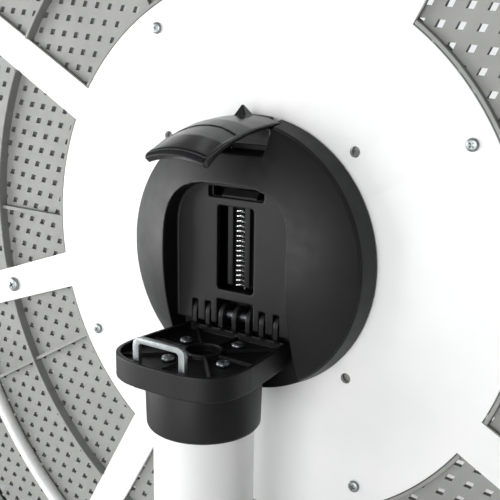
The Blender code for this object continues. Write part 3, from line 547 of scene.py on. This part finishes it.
gap = 0.3 * mm
for quarter in range(4):
    for kind, circle, angle in (("plate_screw", frameParts["plateScrews"], top["ribAngle"]),
                                ("spoke_screw", frameParts["spokeScrews"], frameParts["spokeScrewAngle"])):
        spot = around(angle + 90 * quarter, circle, gap)
        makeScrew(kind, quarter + 1, topPlace @ Matrix.Translation(spot), "top")
    headSpot = middle("head_screw_" + str(quarter + 1))
    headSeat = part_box("head_screw_" + str(quarter + 1))[1].z - screwKinds["head_screw"]["height"]
    makeScrew("head_screw", quarter + 1, Matrix.Translation((headSpot.x, headSpot.y, headSeat)), "stand")
    boltSpot = middle("hub_bolt_" + str(quarter + 1))
    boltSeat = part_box("hub_bolt_" + str(quarter + 1))[1].y - screwKinds["hub_bolt"]["height"]
    makeScrew("hub_bolt", quarter + 1, Matrix.Translation((boltSpot.x, boltSeat, boltSpot.z))
              @ Matrix.Rotation(-math.pi / 2, 4, "X"), "top")
for number in range(1, 9):
    spot = middle("base_bolt_" + str(number))
    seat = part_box("base_bolt_" + str(number))[1].z - screwKinds["base_bolt"]["height"]
    makeScrew("base_bolt", number, Matrix.Translation((spot.x, spot.y, seat)), "stand")
print("screws made")


# the hub
hub = {
    "radius": 84.5 * mm, "edge": 82 * mm, "side": 16 * mm, "high": 41 * mm, "grain": 0.6 * mm,
    "recessHalf": 44 * mm, "floor": 20 * mm, "floorWall": 3 * mm, "lowerPanel": 12 * mm,
    "window": (13.3 * mm, -21 * mm, 31 * mm), "slot": (20 * mm, 35.8 * mm, 42.2 * mm),
    "notch": (22 * mm, 63.3 * mm, 6.3 * mm), "fingerPitch": 10 * mm, "fingerHalf": 1.7 * mm,
}
outline = {"front": 82 * mm, "widest": 48.5 * mm, "half": 41.8 * mm, "rearHalf": 37 * mm, "rear": 2.3 * mm,
           "power": 3.0, "steps": 48}


def horseshoe(offset, rear):
    # (x, distance from the hinge) round the shape that the head and the recess share
    half = outline["half"] + offset
    rise = outline["front"] - outline["widest"] + offset
    points = []
    for step in range(outline["steps"] + 1):
        turn = math.pi * step / outline["steps"]
        x = math.copysign(abs(math.cos(turn)) ** (2 / outline["power"]), math.cos(turn)) * half
        points.append((x, outline["widest"] + math.sin(turn) ** (2 / outline["power"]) * rise))
    rearHalf = outline["rearHalf"] + offset if rear > 0 else half
    return [(rearHalf, rear)] + points + [(-rearHalf, rear)]


def domeHeight(radius):
    cap = hub["high"] - hub["side"]
    sphere = (hub["edge"] ** 2 + cap ** 2) / (2 * cap)
    return hub["high"] - sphere + math.sqrt(sphere ** 2 - min(radius, hub["edge"]) ** 2)


def recessTool(offset, low):
    bm = bmesh.new()
    slab(bm, [(x, hingeUp + d) for x, d in horseshoe(offset, -60 * mm)], low, 60 * mm)
    return workpiece(bm, "recess")


def makeHub():
    bm = bmesh.new()
    edge, side = hub["edge"], hub["side"]
    profile = [(0, gap), (hub["radius"] - 0.6 * mm, gap), (hub["radius"], 1.0 * mm),
               (edge + 0.35 * mm, side - 1.0 * mm), (edge - 0.9 * mm, side - 0.6 * mm),
               (edge - 0.9 * mm, side + 0.3 * mm)]
    for step in range(1, 41):
        radius = (edge - 0.2 * mm) * (1 - step / 40)
        profile.append((radius, domeHeight(radius)))
    profile.insert(6, (edge - 0.2 * mm, domeHeight(edge - 0.2 * mm)))
    turnProfile(bm, profile, 192)
    shell = workpiece(bm, "hub_shell")
    carve(shell, recessTool(hub["recessHalf"] - outline["half"], hub["floor"]))
    half = hub["recessHalf"] - 0.05 * mm
    bm = bmesh.new()
    block(bm, (-half, -94 * mm, hub["lowerPanel"]), (half, hingeUp - 5.2 * mm, 58 * mm))
    carve(shell, workpiece(bm, "lower"))
    floorBack = hub["floor"] - hub["floorWall"]
    cuts = bmesh.new()
    wide, low, high = hub["window"]
    corner = 2 * mm
    rounded = (arc(wide - corner, high - corner, corner, 0, 90, 4)
               + arc(-wide + corner, high - corner, corner, 90, 180, 4)
               + arc(-wide + corner, low + corner, corner, 180, 270, 4)
               + arc(wide - corner, low + corner, corner, 270, 360, 4))
    slab(cuts, rounded, floorBack - 1 * mm, 21 * mm)
    carve(shell, workpiece(cuts, "window"))
    cuts = bmesh.new()
    wide, low, high = hub["slot"]
    block(cuts, (-wide, low, floorBack - 1 * mm), (wide, high, 21 * mm))
    carve(shell, workpiece(cuts, "slot"))
    cuts = bmesh.new()
    block(cuts, (-24 * mm, -23 * mm, 3 * mm), (24 * mm, 62 * mm, floorBack))
    carve(shell, workpiece(cuts, "hollow"))
    lowFinger = hingeUp - 8.8 * mm
    cuts = bmesh.new()
    block(cuts, (-hub["window"][0], lowFinger, 5 * mm), (hub["window"][0], hingeUp + 10.8 * mm, 21 * mm))
    for place in (-3, -2, 2, 3):
        centre, half = place * hub["fingerPitch"], hub["fingerHalf"] + 0.6 * mm
        block(cuts, (centre - half, lowFinger, 5.5 * mm), (centre + half, hingeUp + 7.7 * mm, 21 * mm))
    carve(shell, workpiece(cuts, "fingers"))
    cuts = bmesh.new()
    wide, low, deep = hub["notch"]
    block(cuts, (-wide, low, deep), (wide, 95 * mm, 60 * mm))
    carve(shell, workpiece(cuts, "notch"))
    # pockets that the lever's ears turn in
    for sign in (-1, 1):
        cuts = bmesh.new()
        near, far = sorted((sign * 13.0 * mm, sign * 18.3 * mm))
        block(cuts, (near, 62.9 * mm, -1 * mm), (far, 83.5 * mm, 8 * mm))
        carve(shell, workpiece(cuts, "pocket"))
    soften(shell, hub["grain"], 3, 0.40)
    return finishPiece(shell, nylon, "top", ["hub_housing"], topPlace, 180)


def makeLatch():
    bm = bmesh.new()
    half = [(19, 36), (19, 66.3), (22, 66.3), (22, 30), (8, 30), (8, -18), (4.4, -18), (4.4, 30)]
    points = [(x * mm, y * mm) for x, y in half] + [(-x * mm, y * mm) for x, y in reversed(half)]
    slab(bm, points, 12.8 * mm, 16.2 * mm)
    slide = breakEdges(workpiece(bm, "latch_plate"), 0.4 * mm, 2)
    tip = bmesh.new()
    wedge = [(35.0 * mm, 13 * mm), (40.2 * mm, 12.85 * mm), (36.8 * mm, 16.15 * mm), (35.0 * mm, 16.15 * mm)]
    ramp = slab(tip, wedge, -12.5 * mm, 12.5 * mm)
    bmesh.ops.transform(tip, matrix=fromSide, verts=ramp)
    carve(slide, workpiece(tip, "tip"), "UNION")
    return finishPiece(slide, nylon, "latch", ["latch_slide"], topPlace)


def makeSpring():
    s = {"radius": 2.75 * mm, "wire": 0.7 * mm, "turns": 16, "stepsPerTurn": 24, "sides": 8}
    low, high = -20.3 * mm + s["wire"], 29.7 * mm - s["wire"]
    bm = bmesh.new()
    ring = bmesh.ops.create_circle(bm, cap_ends=True, segments=s["sides"], radius=s["wire"])["verts"]
    bmesh.ops.rotate(bm, verts=ring, cent=(0, 0, 0), matrix=Matrix.Rotation(math.pi / 2, 3, "X"))
    bmesh.ops.translate(bm, verts=ring, vec=(s["radius"], 0, 0))
    steps = s["turns"] * s["stepsPerTurn"]
    bmesh.ops.spin(bm, geom=bm.faces[:] + bm.edges[:] + bm.verts[:], cent=(0, 0, 0), axis=(0, 0, 1),
                   dvec=(0, 0, (high - low) / steps), angle=math.tau * s["turns"], steps=steps,
                   use_merge=False)
    # stands up along y of the top, in the middle of the latch
    stand = Matrix.Translation((0, low, 13.3 * mm)) @ Matrix.Rotation(-math.pi / 2, 4, "X")
    coil = finishPiece(workpiece(bm, "coil_spring"), wire, "top", ["latch_spring"],
                       topPlace @ stand, 60)
    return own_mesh(coil)


def makePins():
    for node, radius in (("hinge_pin", 3.0 * mm), ("lever_pin", 1.75 * mm)):
        low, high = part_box(node)
        half = (high.x - low.x) / 2
        bm = bmesh.new()
        turnProfile(bm, [(0, -half), (radius - 0.5 * mm, -half), (radius, -half + 0.5 * mm),
                         (radius, half - 0.5 * mm), (radius - 0.5 * mm, half), (0, half)], 32)
        lie = Matrix.Translation(middle(node)) @ Matrix.Rotation(math.pi / 2, 4, "Y")
        finishPiece(workpiece(bm, node + "_turned"), zinc, "top", [node], lie)


lever = {
    # distance out of the plate, height of the side edge, half width, crown, thickness
    "stations": ((6.8, 81.2, 21.8, 3.3, 3.2), (12.0, 81.1, 21.8, 3.4, 3.0), (20.0, 80.6, 21.7, 3.7, 2.8),
                 (34.8, 79.0, 21.4, 4.3, 2.8), (47.6, 76.1, 20.9, 4.6, 3.0), (59.7, 72.7, 20.5, 4.2, 3.4),
                 (70.0, 68.5, 20.4, 3.7, 4.6), (75.6, 66.3, 20.3, 3.4, 5.0), (76.9, 65.0, 20.0, 3.4, 3.9),
                 (77.5, 63.6, 19.6, 3.4, 2.4)),
    "across": 48, "along": 130, "padStart": 46.0, "padDrop": 0.7, "grain": 0.42 * mm,
    "groove": (74.0, 0.6, 0.7), "undercut": 3.2,
}


def leverRow(depth):
    rows = lever["stations"]
    for first, second in zip(rows, rows[1:]):
        if depth <= second[0]:
            share = (depth - first[0]) / (second[0] - first[0])
            return [a + (b - a) * share for a, b in zip(first, second)]
    return list(rows[-1])


def makeLever():
    rows = lever["stations"]
    first, last = rows[0][0], rows[-1][0]
    bm = bmesh.new()
    bmesh.ops.create_grid(bm, x_segments=lever["across"], y_segments=lever["along"], size=1)
    under = bmesh.ops.extrude_face_region(bm, geom=bm.faces[:])["geom"]
    under = {v for v in under if isinstance(v, bmesh.types.BMVert)}
    for vert in bm.verts:
        across, share = vert.co.x, (vert.co.y + 1) / 2
        depth, edge, half, crown, thick = leverRow(first + (last - first) * share)
        high = edge + crown * (1 - across ** 2)
        if vert in under:
            back = lever["undercut"] * max(0.0, (depth - 66) / (last - 66))
            vert.co = Vector((across * half * 0.985, high - thick, depth - back)) * mm
        else:
            # the thumb pad starts at a curved step and fades out to the front, where a groove crosses it
            into = depth - lever["padStart"] - 2.0 * across ** 2
            pad = lever["padDrop"] * max(0.0, 1 - into / 24) if into > 0 and abs(across) < 0.94 else 0.0
            groove, width, sink = lever["groove"]
            pad += sink if abs(depth - groove) < width and abs(across) < 0.93 else 0.0
            vert.co = Vector((across * half, high - pad, depth)) * mm
    blade = workpiece(bm, "thumb_lever")
    ears = bmesh.new()
    pivot = middle("lever_pin")
    pivotOut, pivotUp = plateFace - pivot.y, pivot.z - ringMiddle.z
    side = [(pivotUp + math.sin(a) * 2.9 * mm, pivotOut + math.cos(a) * 2.9 * mm)
            for a in [math.radians(-240 + 15 * i) for i in range(15)]]
    side += [(76.0 * mm, 13.5 * mm), (79.7 * mm, 13.5 * mm), (79.7 * mm, 7.2 * mm), (78.5 * mm, 7.2 * mm)]
    for sign in (-1, 1):
        low, high = sorted((sign * 13.5 * mm, sign * 17.8 * mm))
        made = slab(ears, side, low, high)
        bmesh.ops.transform(ears, matrix=fromSide, verts=made)
    carve(blade, workpiece(ears, "ears"), "UNION")
    foot = bmesh.new()
    block(foot, (-21.0 * mm, 68.0 * mm, 12.6 * mm), (21.0 * mm, 80.5 * mm, 16.2 * mm))
    carve(blade, workpiece(foot, "foot"), "UNION")
    # the pointer: a small pyramid whose tip leans to the front
    nub = bmesh.new()
    square = [(x * mm, y * mm) for x, y in ((-5.4, 6.6), (5.4, 6.6), (5.4, 17.4), (-5.4, 17.4))]
    base = slab(nub, square, 82.4 * mm, 90.6 * mm)
    for vert in base:
        if vert.co.z > 85 * mm:
            vert.co.x *= 0.1
            vert.co.y = 13.6 * mm + (vert.co.y - 12 * mm) * 0.12
    bmesh.ops.transform(nub, matrix=fromFront, verts=base)
    carve(blade, workpiece(nub, "nub"), "UNION")
    soften(blade, lever["grain"], 4)
    return finishPiece(blade, smoothNylon, "lever", ["release_lever"], topPlace, 180)


makeHub()
makeLatch()
makeSpring()
makePins()
makeLever()
print("hub, latch and lever made")


# the pole head
head = {"wall": 2.6 * mm, "bossRadius": 11.6 * mm, "bossWall": 1.8 * mm, "ribHalf": 0.8 * mm,
        "grain": 0.5 * mm, "screwAngle": 65.0}
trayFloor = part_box("head_screw_1")[1].z - screwKinds["head_screw"]["height"] - gap


def headOutline(offset):
    rear = outline["rear"] - offset
    return [(x, hinge.y - d) for x, d in horseshoe(offset, rear)]


def makeHead():
    low, high = headFoot + gap, headTop
    bm = bmesh.new()
    slab(bm, headOutline(0), low, high)
    body = workpiece(bm, "head_tray")
    bm = bmesh.new()
    slab(bm, headOutline(-head["wall"]), trayFloor, high + 10 * mm)
    tray = workpiece(bm, "tray")
    bm = bmesh.new()
    rod(bm, (0, 0, trayFloor - 2 * mm), (0, 0, ringMiddle.z - 48.5 * mm), head["bossRadius"], 64)
    carve(tray, workpiece(bm, "boss"))
    bm = bmesh.new()
    for index in range(8):
        made = block(bm, (head["bossRadius"] - 2 * mm, -head["ribHalf"], trayFloor - 2 * mm),
                     (47 * mm, head["ribHalf"], ringMiddle.z - 49.5 * mm))
        turn = Matrix.Rotation(math.radians(head["screwAngle"] + 22.5 + 45 * index), 3, "Z")
        bmesh.ops.rotate(bm, verts=made, cent=(0, 0, 0), matrix=turn)
    carve(tray, workpiece(bm, "ribs"))
    carve(body, tray)
    bm = bmesh.new()
    rod(bm, (0, 0, trayFloor - 2 * mm), (0, 0, high), head["bossRadius"] - head["bossWall"], 64)
    carve(body, workpiece(bm, "bore"))
    bm = bmesh.new()
    slab(bm, headOutline(-head["wall"]), low - 10 * mm, low + 6.5 * mm)
    under = workpiece(bm, "under")
    bm = bmesh.new()
    rod(bm, (0, 0, low - 20 * mm), (0, 0, low + 20 * mm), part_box("column_collar")[1].x + 1 * mm, 64)
    carve(under, workpiece(bm, "seat"))
    carve(body, under)
    fingers = bmesh.new()
    radius = 7 * mm
    side = [(hinge.y + y, hinge.z + z) for y, z in arc(0, 0, radius, -70, 180, 20)]
    side += [(hinge.y - radius, headTop + 1.5 * mm), (hinge.y - 4.6 * mm, headTop - 1.0 * mm),
             (hinge.y - 2.8 * mm, headTop - 1.0 * mm), (hinge.y - 2.8 * mm, headTop + 0.5 * mm)]
    for place in range(-3, 4):
        centre = place * hub["fingerPitch"]
        made = slab(fingers, side, centre - hub["fingerHalf"], centre + hub["fingerHalf"])
        bmesh.ops.transform(fingers, matrix=fromSide, verts=made)
    carve(body, workpiece(fingers, "fingers"), "UNION")
    bm = bmesh.new()
    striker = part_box("striker_loop")
    for sign in (-1, 1):
        near, far = sorted((sign * (striker[1].x + gap), sign * (striker[1].x - 4.6 * mm)))
        block(bm, (near, striker[0].y - gap, trayFloor - 2.5 * mm),
              (far, striker[1].y + gap, trayFloor + 1 * mm))
    carve(body, workpiece(bm, "slots"))
    soften(body, head["grain"], 2, 0.75)
    return finishPiece(body, nylon, "stand", ["pole_head"], sharp=180)


def makeStriker():
    low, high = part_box("striker_loop")
    half, foot, crest = high.x, low.z, high.z
    inner, chamfer, thick = half - 4.3 * mm, 5 * mm, 3.6 * mm
    right = [(inner, foot), (half, foot)] + arc(half - chamfer, crest - chamfer, chamfer, 0, 90, 3)
    points = right + [(-x, z) for x, z in reversed(right)]
    under = crest - thick
    points += [(-inner, under - 1.2 * mm), (-inner + 1.5 * mm, under), (inner - 1.5 * mm, under),
               (inner, under - 1.2 * mm)]
    bm = bmesh.new()
    made = slab(bm, points, low.y, high.y)
    bmesh.ops.transform(bm, matrix=fromFront, verts=made)
    loop = breakEdges(workpiece(bm, "bent_striker"), 0.4 * mm, 3, 60)
    return finishPiece(loop, zinc, "stand", ["striker_loop"])


def makeColumn():
    low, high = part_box("column_tube")
    radius, wall, soft = high.x, 2 * mm, 0.5 * mm
    bm = bmesh.new()
    turnProfile(bm, [(radius - wall, low.z), (radius - soft, low.z), (radius, low.z + soft),
                     (radius, high.z - soft), (radius - soft, high.z), (radius - wall, high.z)], 128)
    finishPiece(workpiece(bm, "column_pole"), whiteCoat, "stand", ["column_tube"])
    low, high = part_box("column_collar")
    outer, bore, corner = high.x, radius + gap, 3 * mm
    profile = [(bore, high.z), (bore, low.z + 0.4 * mm), (bore + 0.4 * mm, low.z)]
    profile += arc(outer - 0.7 * mm - corner, low.z + corner, corner, -90, 0, 8)
    profile += arc(outer - 0.5 * mm, high.z - 0.5 * mm, 0.5 * mm, 0, 90, 3)
    bm = bmesh.new()
    turnProfile(bm, profile, 128)
    finishPiece(workpiece(bm, "collar_sleeve"), nylon, "stand", ["column_collar"])
    low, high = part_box("column_plug")
    bm = bmesh.new()
    turnProfile(bm, [(0, low.z), (high.x - 1 * mm, low.z), (high.x, low.z + 1 * mm), (high.x, high.z),
                     (0, high.z)], 64)
    finishPiece(workpiece(bm, "plug_insert"), nylon, "stand", ["column_plug"])


def makeBase():
    low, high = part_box("base_flange")
    radius, seat = high.x, low.z + 8 * mm
    socket, bore = 37.5 * mm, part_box("column_tube")[1].x + gap
    profile = [(0, low.z), (radius - 1 * mm, low.z), (radius, low.z + 1 * mm)]
    profile += arc(radius - 2 * mm, seat - 2 * mm, 2 * mm, 0, 90, 6)
    profile += arc(socket + 6 * mm, seat + 6 * mm, 6 * mm, 270, 180, 8)
    profile += arc(socket - 2.5 * mm, high.z - 2.5 * mm, 2.5 * mm, 0, 90, 6)
    profile += [(bore + 1 * mm, high.z), (bore, high.z - 1 * mm), (bore, seat), (0, seat)]
    bm = bmesh.new()
    turnProfile(bm, profile, 128)
    flange = workpiece(bm, "base_socket")
    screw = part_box("socket_set_screw")
    centre = (screw[0] + screw[1]) / 2
    holes = bmesh.new()
    rod(holes, (0, screw[0].y - 3 * mm, centre.z), (0, -bore + 1 * mm, centre.z), 3.4 * mm)
    for number in range(1, 9):
        spot = middle("base_bolt_" + str(number))
        rod(holes, (spot.x, spot.y, low.z - 1 * mm), (spot.x, spot.y, seat + 1 * mm), 3.3 * mm)
    carve(flange, workpiece(holes, "holes"))
    finishPiece(flange, whiteCoat, "stand", ["base_flange"])

    bm = bmesh.new()
    length = screw[1].y - screw[0].y
    turnProfile(bm, [(0, 0), (2.6 * mm, 0), (3 * mm, 0.4 * mm), (3 * mm, length - 0.4 * mm),
                     (2.6 * mm, length), (0, length)], 32)
    grub = workpiece(bm, "grub_screw")
    drive = bmesh.new()
    rod(drive, (0, 0, length - 2 * mm), (0, 0, length + 1 * mm), 1.7 * mm, 6)
    carve(grub, workpiece(drive, "drive"))
    finishPiece(grub, zinc, "stand", ["socket_set_screw"],
                Matrix.Translation((0, screw[1].y, centre.z)) @ Matrix.Rotation(math.pi / 2, 4, "X"))

    for number in range(4):
        makeLeg(number)


def makeLeg(number):
    s = {"start": 24 * mm, "shoulder": 88 * mm, "end": 299 * mm, "half": 22.5 * mm, "endHalf": 20 * mm,
         "foot": 12 * mm, "height": 22 * mm, "fall": 0.042}
    bm = bmesh.new()
    points = [(s["start"], -s["half"]), (s["shoulder"], -s["half"])]
    points += arc(s["end"] - s["endHalf"], 0, s["endHalf"], -90, 90, 20)
    points += [(s["shoulder"], s["half"]), (s["start"], s["half"])]
    made = slab(bm, points, s["foot"], s["foot"] + s["height"])
    for vert in made:
        run = max(0.0, vert.co.x - s["shoulder"])
        if vert.co.z > s["foot"] + 1 * mm:
            vert.co.z -= run * s["fall"]
    leg = breakEdges(workpiece(bm, "leg_" + str(number + 1)), 2.0 * mm, 4, 50)
    turn = Matrix.Rotation(math.radians(45 + 90 * number), 4, "Z")
    finishPiece(leg, whiteCoat, "stand", ["base_leg_" + str(number + 1)], turn)
    glideLow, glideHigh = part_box("base_glide_" + str(number + 1))
    centre = (glideLow + glideHigh) / 2
    bm = bmesh.new()
    profile = [(0, 0), (11.8 * mm, 0)] + arc(12.8 * mm, 2.2 * mm, 2.2 * mm, 270, 360, 5)
    profile += [(15 * mm, 8.5 * mm), (14.4 * mm, 10.6 * mm), (13.5 * mm, 11.7 * mm), (4 * mm, 11.7 * mm),
                (4 * mm, 20.5 * mm), (0, 20.5 * mm)]
    turnProfile(bm, profile, 48)
    finishPiece(workpiece(bm, "glide_" + str(number + 1)), rubber, "stand",
                ["base_glide_" + str(number + 1)], Matrix.Translation((centre.x, centre.y, 0)))


makeHead()
makeStriker()
makeColumn()
makeBase()
print("pole head, column and base made")


# stage
def makeStage():
    s = {"size": 14.0, "dark": "#EFEFEF", "light": "#F4F4F4"}
    bm = bmesh.new()
    bmesh.ops.create_grid(bm, x_segments=2, y_segments=2, size=s["size"])
    floor = workpiece(bm, "studio_floor")
    if floor.data.polygons[0].normal.z < 0:
        floor.data.flip_normals()
    material, tree, shader, place = startMaterial("paperSweep", Roughness=0.9)
    grain = noise(tree, place, 900.0, 2.0)
    tree.links.new(tint(tree, spread(tree, grain, 0, 1), s["dark"], s["light"]), shader.inputs["Base Color"])
    floor.data.materials.append(material)


def makeLight(name, spot, size, power, aim):
    light = bpy.data.lights.new(name, "AREA")
    light.shape = "DISK"
    light.size = size
    light.energy = power
    lamp = bpy.data.objects.new(name, light)
    lamp.location = spot
    lamp.rotation_euler = (Vector(aim) - Vector(spot)).to_track_quat("-Z", "Y").to_euler()
    bpy.context.collection.objects.link(lamp)


def makeLights():
    aim = (0, 0, ringMiddle.z)
    makeLight("keyLight", (-2.8, -1.3, 0.55), 2.6, 105, aim)
    makeLight("frontLight", (0.1, -2.9, 0.85), 2.2, 60, aim)
    makeLight("floorLight", (0.15, 2.1, 0.6), 1.2, 14, (0.15, 2.11, 0))
    # the studio is open and white on the left and flagged dark on the right
    world = bpy.data.worlds.new("studio")
    world.use_nodes = True
    tree = world.node_tree
    outward = addNode(tree, "ShaderNodeTexCoord").outputs["Generated"]
    side = addNode(tree, "ShaderNodeVectorMath", {0: outward}, {1: (-0.85, -0.35, -0.25)},
                   operation="DOT_PRODUCT")
    strength = addNode(tree, "ShaderNodeMapRange", {"Value": side.outputs["Value"]},
                       {"From Min": -0.3, "From Max": 0.8, "To Min": 0.08, "To Max": 0.40})
    # a white paper wall stands far behind the top
    behind = addNode(tree, "ShaderNodeVectorMath", {0: outward}, {1: (-0.35, 0.93, 0.05)},
                     operation="DOT_PRODUCT")
    wall = addNode(tree, "ShaderNodeMapRange", {"Value": behind.outputs["Value"]},
                   {"From Min": 0.90, "From Max": 0.96, "To Min": 0.0, "To Max": 0.80})
    total = addNode(tree, "ShaderNodeMath", {0: strength.outputs["Result"], 1: wall.outputs["Result"]},
                    operation="ADD")
    background = tree.nodes["Background"]
    background.inputs["Color"].default_value = shade("#F2F4F6")
    tree.links.new(total.outputs[0], background.inputs["Strength"])
    bpy.context.scene.world = world


def makeCamera():
    s = {"spot": (0.2877, -0.3766, 0.8655), "yaw": 34.244, "pitch": 13.142, "roll": 0.837, "lens": 61.73}
    yaw, pitch, roll = (math.radians(s[k]) for k in ("yaw", "pitch", "roll"))
    ahead = Vector((-math.sin(yaw) * math.cos(pitch), math.cos(yaw) * math.cos(pitch), -math.sin(pitch)))
    right = Vector((math.cos(yaw), math.sin(yaw), 0))
    up = right.cross(ahead)
    rolledRight = math.cos(roll) * right + math.sin(roll) * up
    rolledUp = -math.sin(roll) * right + math.cos(roll) * up
    data = bpy.data.cameras.new("camera")
    data.lens = s["lens"]
    data.sensor_width = 36
    data.clip_start = 0.02
    camera = bpy.data.objects.new("camera", data)
    turn = Matrix((rolledRight, rolledUp, -ahead)).transposed().to_4x4()
    camera.matrix_world = Matrix.Translation(s["spot"]) @ turn
    bpy.context.collection.objects.link(camera)
    bpy.context.scene.camera = camera


makeStage()
makeLights()
makeCamera()
bpy.context.scene.view_settings.view_transform = "Standard"
print("stage, lights and camera set")
